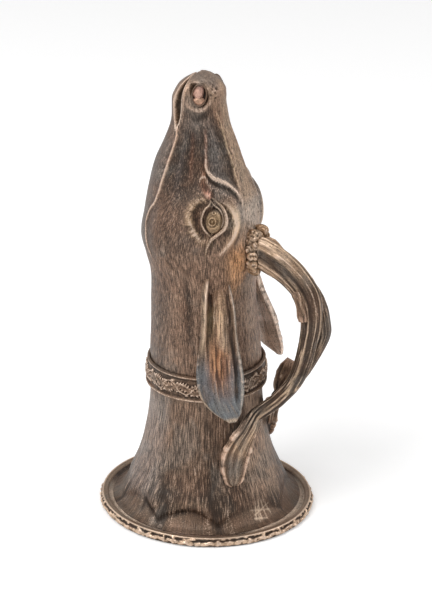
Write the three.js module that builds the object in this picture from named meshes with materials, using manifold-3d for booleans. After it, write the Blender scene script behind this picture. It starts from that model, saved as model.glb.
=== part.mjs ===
// Deer-head rhyton: a drinking cup raised as a deer's head and neck, which rests on its
// flared mouth with the muzzle up. The two antlers sweep down to the bell as one handle.
// Millimetres, +Z up. +X is the forehead and handle side, -Y is the animal's left side.

import * as THREE from 'three';
import { mergeVertices } from 'three/addons/utils/BufferGeometryUtils.js';
import Module from 'manifold-3d';

const wasm = await Module();
wasm.setup();

// Overall heights
const bellHeight = 82;
const headLength = 158;

// Walls and fits
const wall = 2.4;
const bellWall = 2;
const clearance = 0.3;
const cutOver = 1;

// Rim moulding, an oval ring that holds the edge of the flange
const rimHalfLength = 57;
const rimHalfWidth = 54.3;
const rimHeight = 4.8;
const rimDepth = 4.2;
const rimGrip = 2;
const rimEdgeRound = 1.1;

// Flange and bell, as heights and radii of the outer skin below its straight neck
const flangeThickness = 1.7;
const flangeHeight = 3.3;
const bellNeckRadius = 29.3;
const bellOutline = [
  { z: 4.1, r: 50 },
  { z: 6, r: 46.6 },
  { z: 9, r: 44 },
  { z: 14, r: 41.4 },
  { z: 20, r: 39 },
  { z: 26, r: 36.8 },
  { z: 34, r: 34.2 },
  { z: 42, r: 32.4 },
  { z: 52, r: 30.6 },
];
const bellNeckDrop = 18;

// Scalloped locks of neck hair that end over the flange
const lockCount = 8;
const lockTurn = 4;
const lockRelief = 1.5;
const lockFoot = 4;
const lockArch = 10;
const lockArchPower = 0.8;
const lockEdge = 1.6;
const lockFade = 14;

// Lap joint between head and bell
const spigotLength = 16;

// Collar band
const collarLow = 11;
const collarHigh = 3.4;
const collarDepth = 1.6;
const collarBead = 1.3;
const collarBulge = 0.9;
const collarBeadSink = 0.2;
const collarSlope = 0.8;

// Head sections above the bell: centre, half depth, half width and dorsal narrowing
const headSections = [
  { up: 0, centre: 0, depth: 28.9, width: 28.9, narrow: 0 },
  { up: 7, centre: -0.5, depth: 28.8, width: 28.8, narrow: 0 },
  { up: 19, centre: -0.9, depth: 28, width: 28, narrow: 0 },
  { up: 33, centre: -1.6, depth: 27.3, width: 27, narrow: 0 },
  { up: 50, centre: -1.7, depth: 27.3, width: 26, narrow: 0.02 },
  { up: 60, centre: -2.8, depth: 29, width: 26.3, narrow: 0.04 },
  { up: 70, centre: -4.1, depth: 30.5, width: 26.2, narrow: 0.06 },
  { up: 83, centre: -3.3, depth: 29.2, width: 24.6, narrow: 0.1 },
  { up: 96, centre: -2.6, depth: 27.6, width: 22.4, narrow: 0.17 },
  { up: 109, centre: -3.1, depth: 23.8, width: 18.8, narrow: 0.24 },
  { up: 122, centre: -2.6, depth: 18.6, width: 14.8, narrow: 0.25 },
  { up: 131, centre: -3, depth: 15.4, width: 12.1, narrow: 0.18 },
  { up: 141, centre: -4.1, depth: 14.2, width: 11.3, narrow: 0.08 },
];
const muzzleDome = 15;
const muzzleLean = 2.6;
const boreTop = headLength - 42;
const boreDome = 7;

// Eyes, with the raised bone around them
const eyeUp = 86;
const eyeTurn = 54;
const eyeHalfWidth = 4.5;
const eyeHalfHeight = 6.4;
const eyeDome = 2.3;
const eyeSeat = 0.8;
const eyeArcEnd = 72;
const eyeArcStep = 24;
const orbitHalfWidth = 10.5;
const orbitHalfHeight = 14;
const orbitRelief = 1.7;
const orbitSpread = 0.3;
const socketFill = 0.9;
const browTurn = 33;
const browHalfWidth = 7;
const browHalfHeight = 12;
const browRelief = 2.4;

// Folds of the face, alike on both sides: each has a height or a depth, a half width, and a
// line of turn, height above the bell and share of the full height
const faceFolds = [
  // Jaw line, and the hollows of the cheek before it
  {
    rise: 0.9,
    half: 1.3,
    line: [
      [119, 129, 0.3], [115, 124, 0.8], [115.5, 108, 1], [121, 94, 1], [130.5, 86, 1], [134, 80, 1],
      [130.5, 74, 1], [127.5, 68, 0.9], [124, 57, 0],
    ],
  },
  { rise: -1.3, half: 5, line: [[102, 127, 0.5], [99, 117, 1], [98, 108, 1], [106, 90, 0.3]] },
  { rise: -0.9, half: 3, line: [[79, 129, 0.2], [77.5, 120, 1], [75.5, 111.5, 1], [74, 105, 0.4]] },
  { rise: 0.8, half: 4.5, line: [[84, 74, 0.2], [90, 84, 1], [96, 92, 0.6]] },
  // Edge of the bridge, with the valley and the flat beside it
  {
    rise: 0.8,
    half: 1.7,
    line: [[25, 141.5, 0.4], [20, 131, 1], [17, 122, 1], [18, 113.5, 1], [22, 97, 0.8], [26, 90, 0.3]],
  },
  {
    rise: -1.3,
    half: 3.4,
    line: [[40, 138, 0.3], [37, 130, 1], [34, 122, 1], [30, 113, 1], [30, 105, 0.8], [27, 98, 0.3]],
  },
  { rise: -0.6, half: 4.5, line: [[56, 130, 0.5], [55, 121, 1], [50, 112, 1]] },
  // Tear ridge over the eye and the trough under it
  {
    rise: 1.1,
    half: 1.1,
    line: [
      [66, 121, 0.5], [65, 115.5, 0.8], [63, 111, 1], [57.5, 107.8, 1.2], [49.5, 105, 1.2],
      [38.5, 102.5, 1], [30.5, 98, 0.7], [27.5, 92, 0.2],
    ],
  },
  { rise: -1.9, half: 1.7, line: [[60, 105, 0.5], [50, 102.3, 1], [40, 100.2, 1], [30, 91, 0.1]] },
  { rise: -1.3, half: 1.5, line: [[66, 107, 0.5], [62, 103, 1], [58.5, 98.5, 0.7]] },
  // Bone on both sides of the eye, and the furrow over the brow
  {
    rise: 1,
    half: 2.4,
    line: [
      [61, 98, 0.3], [69, 96.5, 0.9], [78, 88.5, 1], [75.5, 83, 1], [70.5, 78.5, 0.8], [64.5, 74.5, 0.2],
    ],
  },
  {
    rise: 1.1,
    half: 2.4,
    line: [[51, 99, 0.4], [40, 93, 1], [35, 85.5, 1], [37, 78, 1], [43, 72.5, 0.9], [51.5, 67, 0.3]],
  },
  { rise: -0.9, half: 2.2, line: [[33, 93, 0.2], [29, 86, 1], [30, 78, 1], [36, 70, 0.5]] },
];
const lowerLipSlim = 1.3;
const lowerLipTurn = { from: 126, to: 138 };
const lowerLipDrop = { from: 17, to: 9 };

// Eyelids
const lidRod = 0.95;
const lidMargin = 1.5;
const lidLift = 0.35;
const lidPoint = 1.2;
const lidPointPower = 6;

// Nostrils and mouth, as drops below the tip of the muzzle
const nostrilDrop = 10.4;
const nostrilTurn = 70.5;
const nostrilHalfWidth = 3.8;
const nostrilHalfHeight = 5.6;
const nostrilDepth = 3.6;
const nostrilWall = 0.8;
const nostrilLip = 0.5;
const mouthShare = 0.62;
const mouthTipDepth = 2;
const mouthLine = [
  { drop: 29.5, x: -11.3, gape: 1 },
  { drop: 26.5, x: -11.1, gape: 2.9 },
  { drop: 22, x: -11, gape: 4.4 },
  { drop: 17, x: -10.9, gape: 4.4 },
  { drop: 12, x: -10.2, gape: 3.8 },
  { drop: 8.5, x: -9, gape: 2.8 },
  { drop: 5, x: -7.9, gape: 1.8 },
  { drop: 2, x: -6.6, gape: 1.2 },
  { drop: -2, x: -5, gape: 1.2 },
];

// Antler roots: pedicles on the forehead, tenons in them and burrs around the beams
const rootUp = 66.8;
const rootSpread = 3.9;
const pedicleReach = 27.3;
const pedicleHalfWidth = 4.2;
const pedicleHalfHeight = 10;
const pedicleFlare = 1.6;
const pedicleRun = 11;
const tenonLength = 3.6;
const tenonHalfWidth = 1.9;
const tenonHalfHeight = 5.4;
const tenonBite = 1;
const burrThickness = 4.8;
const burrHalfWidth = 3.7;
const burrHalfHeight = 12.6;
const burrKnobs = 9;
const burrKnobRelief = 0.9;
const burrFaceShare = 0.72;
const burrSideShare = 0.45;

// Antler beams: the farthest reach past the burrs, and each route from root to wrist
const handleReach = 29.2;
const beamRootHalfWidth = 3.3;
const beamRootRun = 1.6;
const beamHalfWidth = 4.1;
const wristHalfDepth = 3.6;
const wristHalfWidth = 3.2;
const wristRoll = 31;
const wristHeight = 62;
const wristTurn = 21;
const wristStand = 7.5;
const leftArch = [
  { drop: 0.05, reach: 0.37, spread: 4.2, half: 7.2 },
  { drop: 0.11, reach: 0.63, spread: 4.5, half: 6.4 },
  { drop: 0.2, reach: 0.87, spread: 4.6, half: 5.8 },
  { drop: 0.32, reach: 0.97, spread: 4.6, half: 5.2 },
  { drop: 0.43, reach: 0.97, spread: 4.7, half: 5 },
  { drop: 0.63, reach: 0.84, spread: 5.2, half: 4.6 },
  { drop: 0.76, reach: 0.68, spread: 6.9, half: 4 },
  { drop: 0.87, reach: 0.42, spread: 9.8, half: 3.7 },
  { drop: 0.95, reach: 0.16, spread: 12.2, half: 3.6 },
];
const rightArch = [
  { drop: 0.1, reach: 0.25, spread: 4.2, half: 5.4 },
  { drop: 0.16, reach: 0.49, spread: 4.5, half: 5.2 },
  { drop: 0.24, reach: 0.76, spread: 4.6, half: 5 },
  { drop: 0.32, reach: 0.94, spread: 4.6, half: 5 },
  { drop: 0.39, reach: 1.02, spread: 4.7, half: 5 },
  { drop: 0.46, reach: 1.03, spread: 4.9, half: 5 },
  { drop: 0.55, reach: 0.93, spread: 5.3, half: 4.8 },
  { drop: 0.63, reach: 0.81, spread: 5.8, half: 4.6 },
  { drop: 0.76, reach: 0.6, spread: 8.2, half: 4 },
  { drop: 0.87, reach: 0.37, spread: 11.2, half: 3.7 },
  { drop: 0.95, reach: 0.15, spread: 13, half: 3.6 },
];

// Palm that each antler lays on the bell: height, turn, standoff, half width, thickness
const palmRun = [
  { z: 53, turn: 27, stand: 3.6, half: 6.4, thick: 3.6 },
  { z: 45, turn: 34, stand: 2.4, half: 8.2, thick: 3.1 },
  { z: 38, turn: 37.5, stand: 1.5, half: 8, thick: 2.8 },
  { z: 31, turn: 38.5, stand: 1, half: 5.8, thick: 2.6 },
  { z: 26.5, turn: 39, stand: 0.8, half: 2, thick: 2.2 },
];
const rightPalmSwing = 24;

// Tines: a short one hanging by each wrist, a stump on the left beam, a leaf on the right
const lowTine = [
  { z: 61, turn: 15, stand: 5.5, half: 2.4, thick: 3.2 },
  { z: 55, turn: 14, stand: 3.4, half: 2.6, thick: 2.8 },
  { z: 48, turn: 17, stand: 1.4, half: 1.2, thick: 2 },
];
const stumpRun = { from: 0.17, to: 0.34, step: 0.045 };
const stumpSink = { root: 2.2, tip: 1.2 };
const stumpOut = { root: 2.7, tip: 3.9 };
const stumpHalf = 1.7;
const leafThickness = 2.4;
const leafLean = 38.5;
const leafRun = [
  { drop: 1, lift: 0.6, half: 2.6 },
  { drop: 0.95, lift: 3, half: 4.4 },
  { drop: 0.9, lift: 5, half: 5.4 },
  { drop: 0.84, lift: 6.6, half: 5.4 },
  { drop: 0.79, lift: 8.2, half: 3.2 },
];

// Ears: height above the bell, turn, standoff from the skin, half width, hollow, thickness
const earSocket = 1.3;
const earTenonShare = 0.62;
const earTenonHalfHeight = 4.6;
const earEdgeShare = 0.25;
const leftEar = [
  { up: 57, turn: 48, stand: 0.4, half: 6.2, hollow: 0.4, thick: 3.6 },
  { up: 50, turn: 48, stand: 1.4, half: 7.4, hollow: 1, thick: 3.4 },
  { up: 36, turn: 48, stand: 2.2, half: 8, hollow: 2.2, thick: 2.9 },
  { up: 25, turn: 48, stand: 2.9, half: 8.8, hollow: 3.2, thick: 2.5 },
  { up: 15, turn: 48.5, stand: 3.9, half: 11.4, hollow: 3.8, thick: 2.3 },
  { up: 6, turn: 48.5, stand: 4.8, half: 12.4, hollow: 3.8, thick: 2.2 },
  { up: -4, turn: 47.5, stand: 5, half: 11.6, hollow: 3.4, thick: 2.2 },
  { up: -12, turn: 45.5, stand: 5.2, half: 9, hollow: 2.4, thick: 2.2 },
  { up: -18, turn: 43, stand: 5.2, half: 5.4, hollow: 1.2, thick: 2.2 },
  { up: -22, turn: 41, stand: 5.2, half: 1.8, hollow: 0.4, thick: 1.8 },
];
const rightEar = [
  { up: 57, turn: 56, stand: 0.2, half: 4.6, hollow: 0.4, thick: 3.6, twist: 0 },
  { up: 43, turn: 60, stand: 0.6, half: 5, hollow: 0.6, thick: 3.4, twist: 2 },
  { up: 35, turn: 57, stand: 1.6, half: 5.8, hollow: 1, thick: 3, twist: 4 },
  { up: 27, turn: 56, stand: 3, half: 6.8, hollow: 1.5, thick: 2.6, twist: 10 },
  { up: 19, turn: 57, stand: 5.2, half: 7.2, hollow: 1.5, thick: 2.4, twist: 18 },
  { up: 11, turn: 60.5, stand: 7.4, half: 7.4, hollow: 1.5, thick: 2.3, twist: 21 },
  { up: 3, turn: 61, stand: 9.2, half: 7.5, hollow: 1.3, thick: 2.2, twist: 23 },
  { up: -2, turn: 59, stand: 10.2, half: 6.2, hollow: 1, thick: 2.2, twist: 25 },
  { up: -4.8, turn: 51, stand: 11.4, half: 1.8, hollow: 0.4, thick: 1.8, twist: 30 },
];

// Mesh fineness
const headSegments = 80;
const headStep = 5.5;
const faceLow = 54;
const faceStep = 2.4;
const domeSteps = 6;
const domeEnd = 87;
const boreDomeSteps = 3;
const boreSegments = 32;
const boreStep = 9;
const bellSegments = 72;
const bellRingsBetween = [7.5, 11.5, 17];
const bellBoreSegments = 40;
const ringSegments = 56;
const fittingSegments = 20;
const lidSegments = 24;
const lidSides = 6;
const burrSegments = 36;
const sweepSides = 12;
const tineSides = 8;
const earSamples = 7;
const beadStep = 45;
const sliver = 0.02;

// Small helpers
const degrees = Math.PI / 180;

function blend(low, high, value) {
  const share = Math.min(1, Math.max(0, (value - low) / (high - low)));
  return share * share * (3 - 2 * share);
}

// Smooth value of one field of a table, by cubic pieces whose slopes come from neighbours
function along(table, key, position, field) {
  const last = table.length - 1;
  const place = Math.min(table[last][key], Math.max(table[0][key], position));
  let at = 0;
  while (at < last - 1 && place > table[at + 1][key]) at += 1;
  const slope = (i) => {
    const a = table[Math.max(0, i - 1)];
    const b = table[Math.min(last, i + 1)];
    return (b[field] - a[field]) / (b[key] - a[key]);
  };
  const from = table[at];
  const to = table[at + 1];
  const span = to[key] - from[key];
  const s = (place - from[key]) / span;
  const rise = s * s * (3 - 2 * s);
  const startPull = s * (1 - s) * (1 - s) * span * slope(at);
  const endPull = -s * s * (1 - s) * span * slope(at + 1);
  return from[field] + (to[field] - from[field]) * rise + startPull + endPull;
}

function steps(from, to, size) {
  const count = Math.max(1, Math.round(Math.abs(to - from) / size));
  return Array.from({ length: count + 1 }, (_, i) => from + ((to - from) * i) / count);
}

function geometryFrom(points, triangles) {
  const geometry = new THREE.BufferGeometry();
  const flat = points.flatMap((p) => [p.x, p.y, p.z]);
  geometry.setAttribute('position', new THREE.Float32BufferAttribute(flat, 3));
  geometry.setIndex(triangles);
  return geometry;
}

function signedVolume(points, triangles) {
  let volume = 0;
  for (let i = 0; i < triangles.length; i += 3) {
    const [a, b, c] = [points[triangles[i]], points[triangles[i + 1]], points[triangles[i + 2]]];
    volume += a.dot(new THREE.Vector3().crossVectors(b, c)) / 6;
  }
  return volume;
}

// Skin over a run of rings with the same number of points, capped or joined end to end
function skin(rings, closedLoop = false) {
  const size = rings[0].length;
  const points = rings.flat();
  const triangles = [];
  const bands = closedLoop ? rings.length : rings.length - 1;
  for (let i = 0; i < bands; i += 1) {
    const next = (i + 1) % rings.length;
    for (let j = 0; j < size; j += 1) {
      const k = (j + 1) % size;
      const [a, b] = [i * size + j, i * size + k];
      const [c, d] = [next * size + j, next * size + k];
      triangles.push(a, b, d, a, d, c);
    }
  }
  if (!closedLoop) {
    for (const [ring, start, flip] of [[rings[0], 0, true], [rings.at(-1), size * bands, false]]) {
      const centre = ring.reduce((sum, p) => sum.add(p), new THREE.Vector3()).divideScalar(size);
      points.push(centre);
      for (let j = 0; j < size; j += 1) {
        const k = (j + 1) % size;
        const pair = flip ? [start + k, start + j] : [start + j, start + k];
        triangles.push(...pair, points.length - 1);
      }
    }
  }
  if (signedVolume(points, triangles) < 0) triangles.reverse();
  return geometryFrom(points, triangles);
}

// Between three geometries and manifold solids
function solid(geometry) {
  const bare = geometry.clone();
  bare.deleteAttribute('normal');
  bare.deleteAttribute('uv');
  const merged = mergeVertices(bare, 1e-4);
  const vertProperties = new Float32Array(merged.attributes.position.array);
  const triVerts = new Uint32Array(merged.index.array);
  return new wasm.Manifold(new wasm.Mesh({ numProp: 3, vertProperties, triVerts }));
}

function largestPiece(shape) {
  const pieces = shape.decompose();
  return pieces.reduce((best, piece) => (piece.volume() > best.volume() ? piece : best));
}

function geometryOf(shape) {
  const mesh = largestPiece(shape.simplify(sliver)).getMesh();
  const geometry = new THREE.BufferGeometry();
  geometry.setAttribute('position', new THREE.BufferAttribute(new Float32Array(mesh.vertProperties), 3));
  geometry.setIndex(Array.from(mesh.triVerts));
  return geometry;
}

// Bell skin: an oval trumpet with scalloped locks of hair over its foot
function bellProfile() {
  const straight = { z: bellHeight - bellNeckDrop, r: bellNeckRadius };
  return [...bellOutline.filter((p) => p.z < straight.z), straight, { z: bellHeight, r: bellNeckRadius }];
}

function ovalPoint(radius, turn, z) {
  const spread = blend(bellOutline[2].r, rimHalfLength, radius);
  const squeeze = 1 - spread * (1 - rimHalfWidth / rimHalfLength);
  return new THREE.Vector3(radius * Math.cos(turn), -radius * squeeze * Math.sin(turn), z);
}

function lockShape(turn, z) {
  const phase = ((turn / degrees - lockTurn) * lockCount) / 360;
  const arch = Math.abs(Math.sin(Math.PI * phase)) ** lockArchPower;
  const edge = lockFoot + lockArch * arch;
  const top = lockFoot + lockArch;
  const fade = 1 - blend(top, top + lockFade, z);
  return lockRelief * blend(edge - lockEdge, edge + lockEdge, z) * fade;
}

function bellRadius(z) {
  return along(bellProfile(), 'z', z, 'r');
}

function bellPoint(turn, z, grow = 0) {
  return ovalPoint(bellRadius(z) + lockShape(turn, z) + grow, turn, z);
}

function turns(count) {
  return Array.from({ length: count }, (_, i) => (2 * Math.PI * i) / count);
}

function bellOutside(grow = 0) {
  const heights = [...bellProfile().map((p) => p.z), ...bellRingsBetween].sort((a, b) => a - b);
  const walls = heights.map((z) => turns(bellSegments).map((t) => bellPoint(t, z, grow)));
  const edge = rimHalfLength - rimDepth + rimGrip + grow;
  const low = flangeHeight - flangeThickness - grow;
  const flange = [low, flangeHeight + grow].map((z) =>
    turns(bellSegments).map((t) => ovalPoint(edge, t, z)));
  walls.at(-1).forEach((p) => p.setZ(p.z + grow));
  return solid(skin([...flange, ...walls]));
}

function bellBore() {
  const inner = bellProfile().map((p) => ({ z: p.z, r: p.r - bellWall }));
  const mouth = inner[0].r;
  const top = { z: bellHeight + cutOver, r: bellNeckRadius - bellWall };
  const rings = [{ z: -cutOver, r: mouth }, ...inner, top];
  return solid(skin(rings.map((p) => turns(bellBoreSegments).map((t) => ovalPoint(p.r, t, p.z)))));
}

// Head skin, from the neck to the muzzle dome
function faceRelief(turn, up) {
  const width = along(headSections, 'up', eyeUp, 'width');
  const rise = up - eyeUp;
  const fromEye = (Math.abs(turn) - eyeTurn * degrees) * width;
  const fromBrow = (Math.abs(turn) - browTurn * degrees) * width;
  const ring = Math.hypot(fromEye / orbitHalfWidth, rise / orbitHalfHeight);
  const orbit = orbitRelief * Math.exp(-(((ring - 1) / orbitSpread) ** 2));
  const brow = Math.exp(-((fromBrow / browHalfWidth) ** 2) - (rise / browHalfHeight) ** 2);
  return orbit + browRelief * brow + socketFill * (1 - blend(0.5, 1, ring));
}

// Millimetres across and along the head skin, where the folds of the face are drawn
function skinPlace(turn, up) {
  const domeStart = headLength - muzzleDome;
  const inDome = Math.min(1, Math.max(0, up - domeStart) / muzzleDome);
  const radius = (along(headSections, 'up', up, 'depth') + along(headSections, 'up', up, 'width')) / 2;
  const run = Math.min(up, domeStart) + muzzleDome * Math.asin(inDome);
  return new THREE.Vector2(Math.abs(turn) * radius * Math.sqrt(1 - inDome * inDome), run);
}

const folds = faceFolds.map(({ rise, half, line }) => ({
  rise,
  half,
  points: line.map(([turn, up, share]) => ({ place: skinPlace(turn * degrees, up), share })),
}));

function foldRelief(turn, up) {
  const here = skinPlace(turn, up);
  let total = 0;
  for (const { rise, half, points } of folds) {
    let best = 0;
    for (let i = 0; i + 1 < points.length; i += 1) {
      const [from, to] = [points[i], points[i + 1]];
      const step = to.place.clone().sub(from.place);
      const part = here.clone().sub(from.place).dot(step) / step.lengthSq();
      const share = Math.min(1, Math.max(0, part));
      const away = here.distanceTo(from.place.clone().addScaledVector(step, share));
      const size = from.share + (to.share - from.share) * share;
      best = Math.max(best, size * Math.exp(-((away / half) ** 2)));
    }
    total += rise * best;
  }
  const behind = blend(lowerLipTurn.from, lowerLipTurn.to, Math.abs(turn) / degrees);
  const near = blend(headLength - lowerLipDrop.from, headLength - lowerLipDrop.to, up);
  return total - lowerLipSlim * behind * near;
}

function headPoint(turn, up, inset = 0, folded = true) {
  const domeStart = headLength - muzzleDome;
  const inDome = Math.max(0, up - domeStart) / muzzleDome;
  const shrink = Math.sqrt(Math.max(0, 1 - inDome * inDome));
  const centre = along(headSections, 'up', up, 'centre') + muzzleLean * inDome;
  const depth = along(headSections, 'up', up, 'depth') * shrink - inset;
  const width = along(headSections, 'up', up, 'width') * shrink - inset;
  const narrow = along(headSections, 'up', up, 'narrow');
  const [c, s] = [Math.cos(turn), Math.sin(turn)];
  const carved = folded ? foldRelief(turn, up) : 0;
  const relief = inset > 0 ? Math.min(0, carved) : faceRelief(turn, up) + carved * Math.sqrt(shrink);
  const x = centre + (depth + relief) * c;
  const y = -(width + relief) * s * (1 - narrow * c);
  return new THREE.Vector3(x, y, bellHeight + up);
}

// A signed turn, so that the left and right sides share one routine
function wrapTurn(turn) {
  return turn > Math.PI ? turn - 2 * Math.PI : turn;
}

function headRing(up, inset) {
  return turns(headSegments).map((t) => headPoint(wrapTurn(t), up, inset));
}

function domeHeights() {
  const start = headLength - muzzleDome;
  const angles = steps(0, domeEnd, domeEnd / domeSteps).slice(1);
  return angles.map((a) => start + muzzleDome * Math.sin(a * degrees));
}

function headOutside(grow = 0) {
  const start = headLength - muzzleDome;
  const neck = steps(grow > 0 ? -collarLow : clearance, faceLow, headStep);
  const face = steps(faceLow, start, faceStep).slice(1);
  const heights = [...neck, ...face, ...domeHeights()];
  return solid(skin(heights.map((up) => headRing(up, -grow))));
}

function headBore() {
  const spigotBore = spigotRadius() - wall;
  const low = [-spigotLength - cutOver, 0].map((up) =>
    turns(boreSegments).map((t) => new THREE.Vector3(
      spigotBore * Math.cos(t),
      -spigotBore * Math.sin(t),
      bellHeight + up,
    )));
  const high = steps(boreStep, boreTop, boreStep).map((up) =>
    turns(boreSegments).map((t) => headPoint(t, up, wall)));
  const last = high.at(-1);
  const centre = last.reduce((sum, p) => sum.add(p), new THREE.Vector3()).divideScalar(boreSegments);
  const dome = steps(0, domeEnd, domeEnd / boreDomeSteps).slice(1).map((a) => last.map((p) => {
    const q = p.clone().sub(centre).multiplyScalar(Math.cos(a * degrees)).add(centre);
    return q.setZ(q.z + boreDome * Math.sin(a * degrees));
  }));
  return solid(skin([...low, ...high, ...dome]));
}

function spigotRadius() {
  return bellNeckRadius - bellWall - clearance;
}

function spigot() {
  const radius = spigotRadius();
  const heights = [-spigotLength, 2 * clearance];
  const rings = heights.map((up) => turns(headSegments).map((t) => new THREE.Vector3(
    radius * Math.cos(t),
    -radius * Math.sin(t),
    bellHeight + up,
  )));
  return solid(skin(rings));
}

// A frame that stands on the head skin: sideways, upward and outward directions
function headFrame(side, turn, up) {
  const t = side * turn * degrees;
  const here = headPoint(t, up, 0, false);
  const beside = headPoint(t + degrees, up, 0, false).sub(here);
  const above = headPoint(t, up + cutOver / 2, 0, false).sub(here);
  const out = new THREE.Vector3().crossVectors(above, beside).normalize();
  if (out.dot(new THREE.Vector3(here.x, here.y, 0)) < 0) out.negate();
  const rise = above.addScaledVector(out, -above.dot(out)).normalize();
  const across = new THREE.Vector3().crossVectors(rise, out);
  return new THREE.Matrix4().makeBasis(across, rise, out).setPosition(here);
}

// Oval turned pieces in that frame, such as the eye and the nostril
function ovalTurning(profile, halfWidth, halfHeight, segments = fittingSegments) {
  const outline = profile.map(([r, h]) => new THREE.Vector2(r, h));
  const geometry = new THREE.LatheGeometry(outline, segments);
  geometry.rotateX(90 * degrees);
  geometry.scale(halfWidth, halfHeight, 1);
  return geometry;
}

function eyeGeometry(side, grow = 0) {
  const low = -eyeSeat - grow;
  const high = eyeDome + grow;
  const arc = steps(0, eyeArcEnd, eyeArcStep).map((a) => [
    Math.cos(a * degrees),
    high * Math.sin(a * degrees),
  ]);
  const profile = [[0, low], [1, low], ...arc, [0, high]];
  const geometry = ovalTurning(profile, eyeHalfWidth + grow, eyeHalfHeight + grow);
  return geometry.applyMatrix4(headFrame(side, eyeTurn, eyeUp));
}

// Almond loop of one rod around the eye
function lidGeometry(side, grow = 0) {
  const rings = turns(lidSegments).map((t) => {
    const point = lidPoint * Math.abs(Math.sin(t)) ** lidPointPower;
    const wide = (eyeHalfWidth + lidMargin) * Math.cos(t);
    const tall = (eyeHalfHeight + lidMargin + point) * Math.sin(t);
    const centre = new THREE.Vector3(wide, tall, lidLift);
    const outward = new THREE.Vector3(Math.cos(t), Math.sin(t), 0);
    return turns(lidSides).map((u) => centre.clone()
      .addScaledVector(outward, (lidRod + grow) * Math.cos(u))
      .add(new THREE.Vector3(0, 0, (lidRod + grow) * Math.sin(u))));
  });
  return skin(rings, true).applyMatrix4(headFrame(side, eyeTurn, eyeUp));
}

function eyelid(side) {
  return solid(lidGeometry(side)).subtract(solid(eyeGeometry(side, clearance)));
}

// Copper cup that lines a nostril
function nostrilCup(side) {
  const lip = nostrilLip;
  const inner = -nostrilDepth + nostrilWall;
  const bore = 1 - nostrilWall / nostrilHalfWidth;
  const profile = [[0, -nostrilDepth], [1, -nostrilDepth], [1, lip], [bore, lip], [bore, inner], [0, inner]];
  const geometry = ovalTurning(profile, nostrilHalfWidth, nostrilHalfHeight);
  return geometry.applyMatrix4(headFrame(side, nostrilTurn, headLength - nostrilDrop));
}

function nostrilBore(side) {
  const low = -nostrilDepth - clearance;
  const high = nostrilLip + cutOver;
  const profile = [[0, low], [1, low], [1, high], [0, high]];
  const halfWidth = nostrilHalfWidth + clearance;
  const halfHeight = nostrilHalfHeight + clearance;
  const geometry = ovalTurning(profile, halfWidth, halfHeight);
  return geometry.applyMatrix4(headFrame(side, nostrilTurn, headLength - nostrilDrop));
}

// The open line of the mouth, cut into the muzzle from both sides and over its tip
function mouthCut() {
  const outline = new THREE.Shape();
  const tip = bellHeight + headLength;
  const front = mouthLine.map((p) => [p.x + p.gape / 2, tip - p.drop]);
  const back = mouthLine.map((p) => [p.x - p.gape / 2, tip - p.drop]).reverse();
  outline.setFromPoints([...front, ...back].map(([x, z]) => new THREE.Vector2(x, z)));
  const reach = 2 * headSections[0].width;
  const slab = new THREE.ExtrudeGeometry(outline, { depth: reach, bevelEnabled: false });
  slab.rotateX(90 * degrees).translate(0, reach / 2, 0);
  const heights = [...steps(boreTop, headLength - muzzleDome, headStep), ...domeHeights()];
  const core = heights.map((up) => {
    const ring = headRing(up, 0);
    const middle = ring.reduce((sum, p) => sum.add(p), new THREE.Vector3()).divideScalar(ring.length);
    return ring.map((p) => p.clone().sub(middle).multiplyScalar(mouthShare).add(middle)
      .setZ(p.z - mouthTipDepth));
  });
  return solid(slab).subtract(solid(skin(core)));
}

// Antler roots
const beamStart = pedicleReach + burrThickness + 2 * clearance;

function rootPlace(side) {
  return new THREE.Vector3(pedicleReach, -side * rootSpread, bellHeight + rootUp);
}

function ovalBar(side, fromX, toX, halfWidth, halfHeight, flare = 1) {
  const root = rootPlace(side);
  const ring = (x, scale) => turns(fittingSegments).map((t) => new THREE.Vector3(
    x,
    root.y + scale * halfWidth * Math.cos(t),
    root.z + scale * halfHeight * Math.sin(t),
  ));
  return solid(skin([ring(fromX, flare), ring(toX, 1)]));
}

function pedicle(side) {
  const start = pedicleReach - pedicleRun;
  return ovalBar(side, start, pedicleReach, pedicleHalfWidth, pedicleHalfHeight, pedicleFlare);
}

function tenon(side, grow = 0) {
  const start = pedicleReach - tenonLength - grow;
  const end = beamStart + tenonBite;
  return ovalBar(side, start, end, tenonHalfWidth + grow, tenonHalfHeight + grow);
}

function burr(side) {
  const root = rootPlace(side);
  const middle = pedicleReach + clearance + burrThickness / 2;
  const innerWidth = tenonHalfWidth + clearance;
  const innerHeight = tenonHalfHeight + clearance;
  const half = burrThickness / 2;
  const edge = burrSideShare * half;
  const section = [
    [0, -half],
    [burrFaceShare, -half],
    [1, -edge],
    [1, edge],
    [burrFaceShare, half],
    [0, half],
  ];
  const rings = turns(burrSegments).map((t) => {
    const knob = burrKnobRelief * Math.abs(Math.cos((burrKnobs * t) / 2));
    const wide = burrHalfWidth - burrKnobRelief + knob;
    const tall = burrHalfHeight - burrKnobRelief + knob;
    return section.map(([share, x]) => new THREE.Vector3(
      middle + x,
      root.y + (innerWidth + (wide - innerWidth) * share) * Math.cos(t),
      root.z + (innerHeight + (tall - innerHeight) * share) * Math.sin(t),
    ));
  });
  return solid(skin(rings, true));
}

// Stations in polar form around the bell
function aroundBell(side, station, drop = 0) {
  const turn = side * station.turn * degrees;
  const radius = bellRadius(station.z) + clearance + station.stand + station.thick / 2 - drop;
  return new THREE.Vector3(radius * Math.cos(turn), -radius * Math.sin(turn), station.z);
}

function wristPlace(side) {
  const station = { z: wristHeight, turn: wristTurn, stand: wristStand, thick: 0 };
  return aroundBell(side, station);
}

function archPoint(side, station) {
  const root = rootPlace(side);
  const wrist = wristPlace(side);
  const x = beamStart + (wrist.x - beamStart) * station.drop + handleReach * station.reach;
  const z = root.z + (wrist.z - root.z) * station.drop;
  return new THREE.Vector3(x, -side * station.spread, z);
}

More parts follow.
